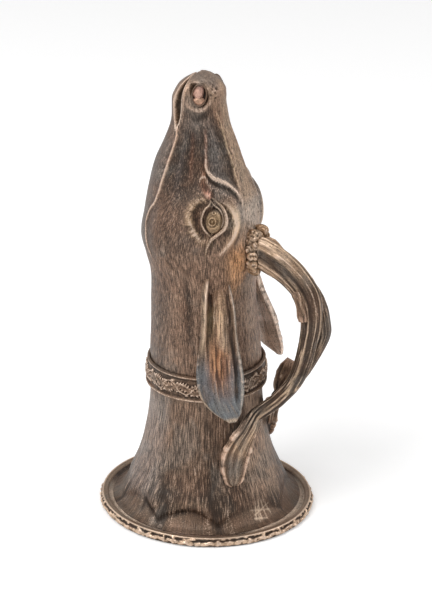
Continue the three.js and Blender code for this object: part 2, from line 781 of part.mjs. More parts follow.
// Sweep of oval sections; each station has a centre, a wide and a thin half size and the
// direction in which it is thin, and may set the direction that its section faces
function sweep(stations, sides = sweepSides) {
  const rings = stations.map((s, i) => {
    const before = stations[Math.max(0, i - 1)].centre;
    const after = stations[Math.min(stations.length - 1, i + 1)].centre;
    const forward = s.forward ?? after.clone().sub(before).normalize();
    const thin = s.thinWay.clone().addScaledVector(forward, -s.thinWay.dot(forward)).normalize();
    const wide = new THREE.Vector3().crossVectors(forward, thin);
    return turns(sides).map((t) => s.centre.clone()
      .addScaledVector(wide, s.wide * Math.cos(t))
      .addScaledVector(thin, s.thin * Math.sin(t)));
  });
  return solid(skin(rings));
}

function bellStations(side, run) {
  return run.map((s) => {
    const centre = aroundBell(side, s);
    const thinWay = new THREE.Vector3(centre.x, centre.y, 0).normalize();
    return { centre, wide: s.half, thin: s.thick / 2, thinWay };
  });
}

function antlerBeam({ side, arch, rootHalf }) {
  const sideways = new THREE.Vector3(0, side, 0);
  const root = rootPlace(side);
  const seat = [0, beamRootRun].map((x) => ({
    centre: new THREE.Vector3(beamStart + x, root.y, root.z),
    wide: rootHalf,
    thin: beamRootHalfWidth,
    thinWay: sideways,
    forward: new THREE.Vector3(1, 0, 0),
  }));
  const bend = arch.map((s) => ({
    centre: archPoint(side, s),
    wide: s.half,
    thin: Math.min(beamHalfWidth, s.spread - clearance),
    thinWay: sideways,
  }));
  const swing = side < 0 ? rightPalmSwing : 0;
  const palm = bellStations(side, palmRun.map((s, i) => ({
    ...s,
    turn: s.turn + (swing * (i + 1)) / palmRun.length,
  })));
  const roll = sideways.clone().multiplyScalar(-Math.tan(wristRoll * degrees));
  const wrist = {
    centre: wristPlace(side),
    wide: wristHalfDepth,
    thin: wristHalfWidth,
    thinWay: palm[0].thinWay.clone().add(roll).normalize(),
  };
  const flip = (s) => ({ ...s, thinWay: s.thinWay.clone().multiplyScalar(-1) });
  return sweep([...seat.map(flip), ...bend.map(flip), wrist, ...palm]);
}

// A place on a beam's centre line, by its share of the drop from root to wrist
function beamPlace(side, arch, drop) {
  const reach = along(arch, 'drop', drop, 'reach');
  const spread = along(arch, 'drop', drop, 'spread');
  return archPoint(side, { drop, reach, spread });
}

function stump(side) {
  const drops = steps(stumpRun.from, stumpRun.to, stumpRun.step);
  const stations = drops.map((drop, i) => {
    const share = i / (drops.length - 1);
    const centre = beamPlace(side, leftArch, drop);
    centre.x -= stumpSink.root + (stumpSink.tip - stumpSink.root) * share;
    centre.y -= side * (stumpOut.root + (stumpOut.tip - stumpOut.root) * share);
    return { centre, wide: stumpHalf, thin: stumpHalf, thinWay: new THREE.Vector3(0, side, 0) };
  });
  return sweep(stations, tineSides);
}

// Leaf that stands up from the inner edge of the right beam, into the finger gap
function leaf(side) {
  const upward = new THREE.Vector3(-Math.sin(leafLean * degrees), 0, Math.cos(leafLean * degrees));
  const stations = leafRun.map(({ drop, lift, half }) => {
    const centre = beamPlace(side, rightArch, drop).addScaledVector(upward, lift);
    return { centre, wide: half, thin: leafThickness / 2, thinWay: new THREE.Vector3(0, side, 0) };
  });
  return sweep(stations, tineSides);
}

// Ears: a hollowed blade along the neck, from a root let into the skin
function earSkinRadius(turn, up) {
  if (up < 0) return bellRadius(bellHeight + up);
  const head = headPoint(turn * degrees, up);
  return Math.hypot(head.x, head.y);
}

function earStation(side, s) {
  const radius = earSkinRadius(side * s.turn, s.up) + s.stand + s.thick / 2;
  const turn = side * s.turn * degrees;
  const centre = new THREE.Vector3(Math.cos(turn), -Math.sin(turn), 0).multiplyScalar(radius);
  centre.setZ(bellHeight + s.up);
  const facing = turn + side * (s.twist ?? 0) * degrees;
  const out = new THREE.Vector3(Math.cos(facing), -Math.sin(facing), 0);
  const across = new THREE.Vector3(Math.sin(facing), Math.cos(facing), 0);
  const shares = steps(-1, 1, 2 / earSamples);
  const place = (v, face) => {
    const edge = Math.max(earEdgeShare, Math.sqrt(1 - v * v));
    const height = s.hollow * v * v + (face * s.thick * edge) / 2;
    return centre.clone().addScaledVector(across, s.half * v).addScaledVector(out, height);
  };
  const outer = shares.map((v) => place(v, 1));
  const inner = shares.map((v) => place(v, -1)).reverse();
  return [...outer, ...inner];
}

function earBlade(side, run) {
  return solid(skin(run.map((s) => earStation(side, s))));
}

function earTenon(side, run, grow = 0) {
  const [first, second] = run;
  const frame = headFrame(side, (first.turn + second.turn) / 2, (first.up + second.up) / 2);
  const low = -earSocket - grow;
  const profile = [[0, low], [1, low], [1, first.thick / 2], [0, first.thick / 2]];
  const halfWidth = earTenonShare * first.half + grow;
  const geometry = ovalTurning(profile, halfWidth, earTenonHalfHeight + grow);
  return solid(geometry.applyMatrix4(frame));
}

// Collar band with a bead along each edge, a little slimmer above
function collarBand() {
  const [low, high] = [bellHeight - collarLow, bellHeight + collarHigh];
  const inner = bellNeckRadius + clearance;
  const face = inner + collarDepth;
  const bead = (radius, z, from, to) => steps(from, to, beadStep).map((a) => new THREE.Vector2(
    radius - collarBeadSink + collarBead * Math.cos(a * degrees),
    z + collarBead * Math.sin(a * degrees),
  ));
  const middle = new THREE.Vector2(face - collarSlope / 2 + collarBulge, (low + high) / 2);
  const profile = [
    new THREE.Vector2(inner, low),
    ...bead(face, low + collarBead, -90, 45),
    middle,
    ...bead(face - collarSlope, high - collarBead, -45, 90),
    new THREE.Vector2(inner, high),
    new THREE.Vector2(inner, low),
  ];
  return solid(new THREE.LatheGeometry(profile, ringSegments).rotateX(90 * degrees));
}

// Rim moulding, with a groove for the edge of the flange
function rimMoulding() {
  const edge = rimEdgeRound;
  const [inner, outer] = [rimHalfLength - rimDepth, rimHalfLength];
  const section = [
    [inner, 0],
    [outer - 0.7 * edge, 0],
    [outer - 0.15 * edge, 0.5 * edge],
    [outer, 1.4 * edge],
    [outer - 0.1 * edge, rimHeight - edge],
    [outer - 0.8 * edge, rimHeight - 0.15 * edge],
    [outer - 1.6 * edge, rimHeight],
    [inner + 0.6 * edge, rimHeight - 0.2 * edge],
    [inner, rimHeight - 0.8 * edge],
  ];
  const squeeze = rimHalfLength - rimHalfWidth;
  const rings = turns(ringSegments).map((t) => section.map(([r, z]) => new THREE.Vector3(
    r * Math.cos(t),
    -(r - squeeze) * Math.sin(t),
    z,
  )));
  return solid(skin(rings, true));
}

// Pieces and their fits
const sides = [
  { name: 'left', side: 1, ear: leftEar, arch: leftArch, rootHalf: 8.6 },
  { name: 'right', side: -1, ear: rightEar, arch: rightArch, rootHalf: 6.4 },
];

const headGrown = headOutside(clearance);
const bellGrown = bellOutside(clearance);
const bell = bellOutside().subtract(bellBore());
const rim = rimMoulding().subtract(bellGrown);
const collar = collarBand().subtract(headGrown).subtract(bellGrown);

let head = headOutside();
for (const { side } of sides) head = head.add(pedicle(side));
head = head.add(spigot()).subtract(headBore()).subtract(mouthCut());
for (const { side, ear } of sides) {
  head = head
    .subtract(solid(eyeGeometry(side, clearance)))
    .subtract(solid(lidGeometry(side, clearance)))
    .subtract(solid(nostrilBore(side)))
    .subtract(tenon(side, clearance))
    .subtract(earTenon(side, ear, clearance));
}

function antler(one) {
  const { side } = one;
  let shape = antlerBeam(one).add(sweep(bellStations(side, lowTine), tineSides));
  shape = side > 0 ? shape.add(stump(side)) : shape.add(leaf(side));
  return shape.subtract(bellGrown).subtract(headGrown).add(tenon(side));
}

function ear({ side, ear: run }) {
  return earBlade(side, run).subtract(headGrown).add(earTenon(side, run));
}

// Finishes
const finish = {
  silver: { color: 0x6b5a4c, roughness: 0.5, metalness: 0.8 },
  bright: { color: 0x8a705c, roughness: 0.42, metalness: 0.85 },
  dark: { color: 0x4f463f, roughness: 0.55, metalness: 0.75 },
  copper: { color: 0xb58370, roughness: 0.5, metalness: 0.8 },
};

const group = new THREE.Group();

function place(name, geometry, look) {
  const mesh = new THREE.Mesh(geometry, new THREE.MeshStandardMaterial(finish[look]));
  mesh.name = name;
  group.add(mesh);
}

place('head_shell', geometryOf(head), 'silver');
place('mouth_bell', geometryOf(bell), 'silver');
place('collar_band', geometryOf(collar), 'bright');
place('rim_moulding', geometryOf(rim), 'bright');
for (const one of sides) {
  place(`ear_${one.name}`, geometryOf(ear(one)), 'dark');
  place(`antler_${one.name}`, geometryOf(antler(one)), 'silver');
  place(`burr_${one.name}`, geometryOf(burr(one.side)), 'bright');
  place(`eye_${one.name}`, eyeGeometry(one.side), 'dark');
  place(`eyelid_${one.name}`, geometryOf(eyelid(one.side)), 'bright');
  place(`nostril_${one.name}`, nostrilCup(one.side), 'copper');
}

// The origin is under the middle of the whole cup, on the plane it stands on
const box = new THREE.Box3().setFromObject(group);
const middle = box.getCenter(new THREE.Vector3());
group.position.set(-middle.x, -middle.y, -box.min.z);

export default group;
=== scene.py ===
# Looks of the deer-head rhyton: a chased and patinated cup that stands mouth down.
# Shapes are worked out in millimetres in the cup's own frame: the neck's axis at x = y = 0, the table at
# z = 0, the forehead and handle toward +X and the animal's left side toward -Y. A turn is an angle round
# the neck from the forehead, positive on the left side, and "up" is a height above the bell.

import math
from collections import namedtuple
from functools import reduce

import bpy
import numpy as np
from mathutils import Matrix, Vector


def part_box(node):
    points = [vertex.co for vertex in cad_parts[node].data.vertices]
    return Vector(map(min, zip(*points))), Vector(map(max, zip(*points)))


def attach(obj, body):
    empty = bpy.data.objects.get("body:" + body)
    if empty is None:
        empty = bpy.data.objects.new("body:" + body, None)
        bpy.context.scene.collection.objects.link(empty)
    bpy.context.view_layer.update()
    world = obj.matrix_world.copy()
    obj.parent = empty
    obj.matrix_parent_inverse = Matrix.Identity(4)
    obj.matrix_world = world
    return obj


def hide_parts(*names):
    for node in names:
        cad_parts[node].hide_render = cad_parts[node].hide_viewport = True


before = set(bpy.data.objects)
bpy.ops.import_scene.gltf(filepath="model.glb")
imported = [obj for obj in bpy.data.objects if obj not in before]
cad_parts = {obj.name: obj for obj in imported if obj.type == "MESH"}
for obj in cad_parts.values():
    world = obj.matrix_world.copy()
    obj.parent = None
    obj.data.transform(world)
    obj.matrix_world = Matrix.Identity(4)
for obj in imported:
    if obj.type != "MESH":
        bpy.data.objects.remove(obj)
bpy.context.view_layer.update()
rim_low, rim_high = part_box("rim_moulding")
# Millimetres along X from the cup's own frame to the row's
SHIFT_X = 500 * (rim_low.x + rim_high.x)
DEG = math.pi / 180

# Sizes that the looks share with the solids
BELL_HEIGHT = 82
HEAD_LENGTH = 158
WALL = 2.4
BELL_WALL = 2
GAP = 0.3
# Rows of the head: height, centre, half depth, half width, and how much the forehead side is narrowed
HEAD = np.array([
    (0, 0, 28.9, 28.9, 0), (7, -0.5, 28.8, 28.8, 0), (19, -0.9, 28, 28, 0), (33, -1.6, 27.3, 27, 0),
    (50, -1.7, 27.3, 26, 0.02), (60, -2.8, 29, 26.3, 0.04), (70, -4.1, 30.5, 26.2, 0.06),
    (83, -3.3, 29.2, 24.6, 0.1), (96, -2.6, 27.6, 22.4, 0.17), (109, -3.1, 23.8, 18.8, 0.24),
    (122, -2.6, 18.6, 14.8, 0.25), (131, -3, 15.4, 12.1, 0.18), (141, -4.1, 14.2, 11.3, 0.08),
])
DOME = 15
DOME_LEAN = 2.6
DOME_START = HEAD_LENGTH - DOME
BORE_TOP = HEAD_LENGTH - 42
BORE_DOME = 7
SPIGOT_LENGTH = 16
# Rows of the bell: height and radius
BELL = np.array([
    (4.1, 50), (6, 46.6), (9, 44), (14, 41.4), (20, 39), (26, 36.8), (34, 34.2), (42, 32.4), (52, 30.6),
    (64, 29.3), (82, 29.3),
])
BELL_NECK = 29.3
RIM_LONG = 57
RIM_WIDE = 54.3
RIM_HEIGHT = 4.8
RIM_DEPTH = 4.2
FLANGE_TOP = 3.3
FLANGE_LOW = 1.6
FLANGE_EDGE = 54.8


# Number helpers
def blend(low, high, value):
    share = np.clip((value - low) / (high - low), 0, 1)
    return share * share * (3 - 2 * share)


def bell_curve(value, width):
    return np.exp(-(value / width) ** 2)


def along(keys, values, place):
    """Smooth values between the rows of a table, by cubic pieces whose slopes come from neighbours."""
    keys, values = np.asarray(keys, float), np.asarray(values, float)
    place = np.clip(np.asarray(place, float), keys[0], keys[-1])
    low, high = np.maximum(np.arange(len(keys)) - 1, 0), np.minimum(np.arange(len(keys)) + 1, len(keys) - 1)
    run = keys[high] - keys[low]
    if values.ndim > 1:
        run = run[:, None]
    slope = (values[high] - values[low]) / run
    at = np.clip(np.searchsorted(keys, place, side="left") - 1, 0, len(keys) - 2)
    span = keys[at + 1] - keys[at]
    s = (place - keys[at]) / span
    if values.ndim > 1:
        s, span = s[..., None], span[..., None]
    start, end = values[at], values[at + 1]
    pull = s * (1 - s) ** 2 * span * slope[at] - s * s * (1 - s) * span * slope[at + 1]
    return start + (end - start) * s * s * (3 - 2 * s) + pull


# Factors that scatter the cells of the noise
SCATTER = (73856093, 19349663, 83492791, 2654435761)


def hashed(x, y, z, seed):
    """Seeded number from -1 to 1 for each cell."""
    mixed = (x * SCATTER[0]) ^ (y * SCATTER[1]) ^ (z * SCATTER[2]) ^ (seed * SCATTER[3])
    mixed = ((mixed ^ (mixed >> 13)) * 1274126177) & 0xFFFFFFFF
    mixed = mixed ^ (mixed >> 16)
    return (mixed & 0xFFFF) / 32767.5 - 1


def noise(places, pitch, seed):
    """Smooth seeded noise from -1 to 1 at places, with one lump about every pitch."""
    scaled = places / np.asarray(pitch, float)
    cell = np.floor(scaled).astype(np.int64)
    part = scaled - cell
    part = part * part * (3 - 2 * part)
    total = 0
    for corner in range(8):
        step = np.array([corner & 1, (corner >> 1) & 1, corner >> 2])
        weight = np.prod(np.where(step, part, 1 - part), axis=-1)
        total = total + weight * hashed(*np.moveaxis(cell + step, -1, 0), seed)
    return total


def smooth_line(line, pieces=5):
    """A line of points with more points between them, bent smoothly."""
    line = np.asarray(line, float)
    keys = np.arange(len(line))
    return along(keys, line, np.linspace(0, len(line) - 1, (len(line) - 1) * pieces + 1))


def nearest(across, run, line, reach):
    """Mask of the places near a line of (across, run, share), with their distance, share and side of it."""
    line = smooth_line(line)
    low, high = line[:, :2].min(0) - reach, line[:, :2].max(0) + reach
    near = (across > low[0]) & (across < high[0]) & (run > low[1]) & (run < high[1])
    a, b = across[near], run[near]
    away, share, side = np.full_like(a, reach), np.zeros_like(a), np.ones_like(a)
    for p, q in zip(line, line[1:]):
        d = q[:2] - p[:2]
        k = np.clip(((a - p[0]) * d[0] + (b - p[1]) * d[1]) / max(d @ d, 1e-9), 0, 1)
        x, y = a - p[0] - k * d[0], b - p[1] - k * d[1]
        gap = np.hypot(x, y)
        closer = gap < away
        away = np.where(closer, gap, away)
        share = np.where(closer, p[2] + (q[2] - p[2]) * k, share)
        side = np.where(closer, np.sign(d[0] * y - d[1] * x), side)
    return near, away, share, side


def falloff(away, width):
    """A bell curve that ends at three widths."""
    return np.exp(-(away / width) ** 2) - np.exp(-9)


def stroke(across, run, line, height, width):
    """A raised or sunken line over a chart; each point of the line is (across, run, share of the height)."""
    near, away, share, _ = nearest(across, run, line, 3 * width)
    shape = np.zeros_like(across)
    shape[near] = height * share * falloff(away, width)
    return shape


def fold(across, run, line, height, sharp, soft, deep):
    """A fold that swells gently on one side of its line and drops into a trough on the other."""
    near, away, share, side = nearest(across, run, line, 3 * soft)
    shape = np.zeros_like(across)
    drop = (1 + deep) * bell_curve(away, sharp) - deep * bell_curve(away, 3 * sharp)
    shape[near] = height * share * np.where(side > 0, drop, falloff(away, soft))
    return shape


def window_mean(field, half):
    """Mean down a field over half a window on both sides, of the rows that have a whole window."""
    total = np.cumsum(np.concatenate([np.zeros_like(field[:1]), field]), 0)
    size = 2 * half + 1
    return (total[size:] - total[:-size]) / size


def blurred(field, rows, columns):
    """Mean of a grid over a window, taken twice; the grid joins up across its columns."""
    for _ in range(2):
        padded = np.concatenate([field[:1].repeat(rows, 0), field, field[-1:].repeat(rows, 0)])
        field = window_mean(padded, rows)
        padded = np.concatenate([field[:, -columns:], field, field[:, :columns]], 1)
        field = window_mean(padded.T, columns).T
    return field


def unit(vectors):
    return vectors / np.maximum(np.linalg.norm(vectors, axis=-1, keepdims=True), 1e-9)


def around(count, start=0.0):
    """Equal angles once round from a start."""
    return np.linspace(start, start + 2 * math.pi, count, endpoint=False)


def wheel(radius, angle, rise):
    """Points at a radius and an angle round the z axis."""
    return np.stack(np.broadcast_arrays(radius * np.cos(angle), radius * np.sin(angle), rise), -1)


def grid_normals(points, out_from):
    """Normals of a grid that joins up across its columns, turned away from the given points."""
    by_column = np.roll(points, -1, 1) - np.roll(points, 1, 1)
    by_row = np.gradient(points, axis=0)
    normals = unit(np.cross(by_column, by_row))
    inward = (normals * (points - out_from)).sum(-1, keepdims=True) < 0
    return np.where(inward, -normals, normals)


# Colours and meshes
def srgb(red, green, blue):
    share = np.array([red, green, blue]) / 255
    return np.where(share <= 0.04045, share / 12.92, ((share + 0.055) / 1.055) ** 2.4)


TAUPE = srgb(126, 101, 83)
SHADE = srgb(58, 43, 32)
DARK = srgb(86, 69, 57)
TAN = srgb(158, 131, 107)
ROSE = srgb(206, 170, 146)
CREAM = srgb(215, 190, 170)
GLINT = srgb(178, 148, 125)
RUST = srgb(112, 80, 60)
MOSS = srgb(118, 113, 106)
BLUE = srgb(110, 107, 105)
COPPER = srgb(206, 162, 144)


class Coat:
    """The colour of each point of a grid, painted over through masks."""

    def __init__(self, shape, colour):
        self.tint = np.broadcast_to(colour, (*shape, 3))

    def paint(self, mask, colour):
        self.tint = self.tint + np.clip(mask, 0, 1)[..., None] * (colour - self.tint)


# One closed skin: its points, faces and the values that its finish reads
Shell = namedtuple("Shell", "points quads triangles values")


def flat_values(shape, height=None, tint=TAUPE, fur=0.0, strand=None, window=(3, 3), gain=1.6):
    """Finish values of a grid: how proud each point stands, its tint, hair strength and strand place."""
    if height is None:
        height = np.zeros(shape)
    return {
        "proud": np.clip(0.5 + gain * (height - blurred(height, *window)), 0, 1),
        "tint": np.broadcast_to(tint, (*shape, 3)),
        "fur": np.broadcast_to(np.asarray(fur, float), shape),
        "strand": np.zeros((*shape, 3)) if strand is None else strand,
    }


def grid_shell(points, values, loop=False):
    """Skin over a grid that joins up across its columns; its rows join up too, or end in two fans."""
    rows, columns = points.shape[:2]
    index = np.arange(rows * columns).reshape(rows, columns)
    above = np.roll(index, -1, 0) if loop else index[1:]
    below = index[:len(above)]
    quads = np.stack([below, np.roll(below, -1, 1), np.roll(above, -1, 1), above], -1).reshape(-1, 4)
    triangles = np.zeros((0, 3), int)
    if not loop:
        first, last, tip = index[0], index[-1], np.full(columns, rows * columns)
        triangles = np.concatenate([
            np.stack([np.roll(first, -1), first, tip], -1), np.stack([last, np.roll(last, -1), tip + 1], -1),
        ])
    flat = {}
    for key, value in {"place": points, **values}.items():
        ends = [] if loop else [value[:1].mean(1), value[-1:].mean(1)]
        flat[key] = np.concatenate([value.reshape(rows * columns, *value.shape[2:]), *ends])
    places = flat.pop("place")
    a, b, c = np.moveaxis(places[np.concatenate([quads[:, :3], quads[:, [0, 2, 3]], triangles])], 1, 0)
    if (a * np.cross(b, c)).sum() < 0:
        quads, triangles = quads[:, ::-1], triangles[:, ::-1]
    return Shell(places, quads, triangles, flat)


def make_piece(name, shells, slot, node):
    """One mesh of all the shells, with the finish of its slot, which stands for a node of the CAD."""
    points = np.concatenate([s.points for s in shells])
    starts = np.cumsum([0] + [len(s.points) for s in shells])
    faces = []
    for shell, start in zip(shells, starts):
        faces += (shell.quads + start).tolist() + (shell.triangles + start).tolist()
    mesh = bpy.data.meshes.new(name)
    mesh.from_pydata(((points + (SHIFT_X, 0, 0)) / 1000).tolist(), [], faces)
    mesh.shade_smooth()
    for key, kind, field in (
        ("proud", "FLOAT", "value"), ("fur", "FLOAT", "value"),
        ("strand", "FLOAT_VECTOR", "vector"), ("tint", "FLOAT_COLOR", "color"),
    ):
        value = np.concatenate([s.values[key] for s in shells]).astype(np.float32)
        if key == "tint":
            value = np.pad(value, ((0, 0), (0, 1)), constant_values=1)
        mesh.attributes.new(key, kind, "POINT").data.foreach_set(field, value.ravel())
    mesh.materials.append(FINISHES[slot])
    piece = bpy.data.objects.new(name, mesh)
    bpy.context.scene.collection.objects.link(piece)
    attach(piece, "root")
    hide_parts(node)


# Finish of the metal
def plug(tree, socket, value):
    if isinstance(value, bpy.types.NodeSocket):
        tree.links.new(value, socket)
    else:
        socket.default_value = value


def add_node(tree, kind, sockets, **settings):
    """A shader node with its settings, and with a number, colour or link for each of its sockets."""
    node = tree.nodes.new("ShaderNode" + kind)
    for key, value in settings.items():
        setattr(node, key, value)
    for key, value in sockets.items():
        plug(tree, node.inputs[key], value)
    return node


# Sockets of the colours and the result of a Mix node for colours
MIX_A, MIX_B, MIX_RESULT = 6, 7, 2


def metal(name, wear=1.0, hair=1.0, metallic=0.5, dark=SHADE, bright=CREAM):
    """Patina that reads the mesh: dark in hollows and engraved lines, rubbed bright where it is proud."""
    material = bpy.data.materials.new(name)
    material.use_nodes = True
    tree = material.node_tree
    shader = tree.nodes["Principled BSDF"]
    shader.inputs["Metallic"].default_value = metallic

    def add(kind, sockets, output=0, **settings):
        return add_node(tree, kind, sockets, **settings).outputs[output]

    def maths(operation, a, b, clamp=False):
        return add("Math", {0: a, 1: b}, operation=operation, use_clamp=clamp)

    def times(a, b):
        return maths("MULTIPLY", a, b)

    def plus(*parts):
        return reduce(lambda a, b: maths("ADD", a, b), parts)

    def centred(value, gain):
        return times(maths("SUBTRACT", value, 0.5), gain)

    def fitted(value, from_low, from_high, to_low=0.0, to_high=1.0):
        ends = {"From Min": from_low, "From Max": from_high, "To Min": to_low, "To Max": to_high}
        return add("MapRange", {"Value": value, **ends}, "Result", interpolation_type="SMOOTHSTEP")

    def noisy(vector, scale, detail, rough, warp):
        shape = {"Scale": scale, "Detail": detail, "Roughness": rough, "Distortion": warp}
        return add("TexNoise", {"Vector": vector, **shape}, "Fac")

    def mixed(share, a, b):
        return add("Mix", {0: share, MIX_A: a, MIX_B: b}, MIX_RESULT, data_type="RGBA")

    place = add("TexCoord", {}, "Object")
    strand = add("Attribute", {}, "Vector", attribute_name="strand")
    proud, fur = (add("Attribute", {}, "Fac", attribute_name=key) for key in ("proud", "fur"))
    tint = add("Attribute", {}, "Color", attribute_name="tint")

    hairs = noisy(strand, 2.0, 1.0, 0.5, 0.1)
    fine_hairs = noisy(strand, 3.4, 1.0, 0.5, 0.1)
    locks = noisy(strand, 0.22, 2.0, 0.5, 0.4)
    patches = noisy(place, 95, 3.0, 0.6, 0.8)
    stains = noisy(place, 55, 2.0, 0.5, 0.5)
    spots = noisy(place, 420, 3.0, 0.65, 0.3)
    pits = noisy(place, 1700, 1.0, 0.6, 0.0)

    # Engraved lines, hollows and dirt are dark, and proud places are rubbed bright
    depth = times(fur, hair)
    lines = times(plus(centred(hairs, 5.6), centred(fine_hairs, 4.0)), depth)
    mottle = plus(centred(patches, 0.9), centred(spots, 0.9), centred(pits, 3.0))
    level = centred(proud, 2.0)
    tone = plus(plus(lines, times(centred(locks, 0.7), fur)), plus(mottle, times(level, 1.1)))
    base = mixed(fitted(stains, 0.48, 0.34, 0.0, 0.35), tint, (*MOSS, 1))
    base = mixed(fitted(stains, 0.48, 0.64, 0.0, 0.3), base, (*RUST, 1))
    factor = times(fitted(tone, 0.1, -1.3, 1.0, 0.42), fitted(tone, 0.1, 1.4, 1.0, 1.75))
    base = add("VectorMath", {0: base, "Scale": factor}, operation="SCALE")
    base = mixed(fitted(tone, 0.1, -1.3, 0.0, 0.45), base, (*dark, 1))
    base = mixed(fitted(tone, 0.25, 1.5, 0.0, 0.35 * min(wear, 1.2)), base, (*GLINT, 1))
    worn_share = fitted(plus(level, times(plus(times(lines, 0.5), mottle), 0.5)), 0.35, 1.3)
    base = mixed(maths("MULTIPLY", worn_share, wear, clamp=True), base, (*bright, 1))
    plug(tree, shader.inputs["Base Color"], base)
    rough = fitted(maths("SUBTRACT", spots, times(level, 0.35)), 0.1, 0.95, 0.3, 0.52)
    plug(tree, shader.inputs["Roughness"], rough)

    bump = {"Strength": 1.0}
    engraved = times(plus(hairs, times(fine_hairs, 0.5)), depth)
    for height, distance in ((engraved, 0.0005), (spots, 0.00012), (pits, 0.0001)):
        bump["Normal"] = add("Bump", {**bump, "Height": height, "Distance": distance}, "Normal")
    plug(tree, shader.inputs["Normal"], bump["Normal"])
    return material


FINISHES = {
    "patinated_metal": metal("patinated_metal"),
    "worn_metal": metal("worn_metal", wear=1.15, hair=0.6, metallic=0.55),
    "dark_metal": metal("oxidised_metal", wear=0.9, hair=0.8),
    "nostril_copper": metal(
        "nostril_copper", wear=0.6, hair=0.0, dark=srgb(96, 60, 46), bright=srgb(230, 196, 180),
    ),
}


# The head: its skin, the features of the face and its hollow
EYE_UP, EYE_TURN = 86, 54
EYE_WIDE, EYE_TALL, EYE_DOME = 4.5, 6.4, 2.8
BROW_TURN = 33
ROOT_UP, ROOT_SPREAD = 66.8, 3.9
# Rows of the mouth's slot: drop below the tip of the muzzle, x, and how wide it gapes
MOUTH = np.array([
    (-2, -5, 1.2), (2, -6.8, 1.4), (5, -8.3, 2.4), (8.5, -9.5, 3.6), (12, -10.6, 4.5), (17, -11.3, 5.0),
    (21, -11.3, 4.6), (25, -11.3, 2.8), (27, -11.3, 1.2), (28.3, -11.4, 0),
])
NOSTRIL_UP, NOSTRIL_TURN = HEAD_LENGTH - 10.4, 70.5
NOSTRIL_WIDE, NOSTRIL_TALL = 3.9, 5.9


def face_relief(turn, up):
    """Bone round the eye, the brow over it and the swell under it, as in the solids."""
    width = along(HEAD[:, 0], HEAD[:, 3], EYE_UP)
    from_eye = (np.abs(turn) - EYE_TURN * DEG) * width
    from_brow = (np.abs(turn) - BROW_TURN * DEG) * width
    ring = np.hypot(from_eye / 10.5, (up - EYE_UP) / 14)
    orbit = 1.7 * bell_curve(ring - 1, 0.3)
    brow = 2.4 * np.exp(-(from_brow / 7) ** 2 - ((up - EYE_UP) / 12) ** 2)
    return orbit + brow + 0.9 * (1 - blend(0.5, 1, ring))


def head_point(turn, up, inset=0.0):
    """Points of the head's smooth skin, or of the hollow that lies inset from it."""
    turn, up = np.broadcast_arrays(np.asarray(turn, float), np.asarray(up, float))
    in_dome = np.maximum(0, up - DOME_START) / DOME
    shrink = np.sqrt(np.maximum(0, 1 - in_dome ** 2))
    centre, depth, width, narrow = np.moveaxis(along(HEAD[:, 0], HEAD[:, 1:], up), -1, 0)
    centre = centre + DOME_LEAN * in_dome
    relief = 0 if inset > 0 else face_relief(turn, up) * blend(0, 0.3, shrink)
    c, s = np.cos(turn), np.sin(turn)
    x = centre + (depth * shrink - inset + relief) * c
    y = -(width * shrink - inset + relief) * s * (1 - narrow * c)
    return np.stack([x, y, BELL_HEIGHT + up], -1)


def head_chart(turn, up):
    """Millimetres across and along the head skin, alike on both sides."""
    in_dome = np.clip((up - DOME_START) / DOME, 0, 1)
    shrink = np.sqrt(np.maximum(0.0025, 1 - in_dome ** 2))
    sizes = along(HEAD[:, 0], HEAD[:, 2:4], up)
    run = np.where(up > DOME_START, DOME_START + DOME * np.arcsin(in_dome), up)
    return np.abs(turn) * sizes.mean(-1) * shrink, run


def head_line(line):
    """A line of (turn in degrees, up, share) as a line over the chart."""
    line = np.asarray(line, float)
    across, run = head_chart(line[:, 0] * DEG, line[:, 1])
    return np.stack([across, run, line[:, 2]], -1)


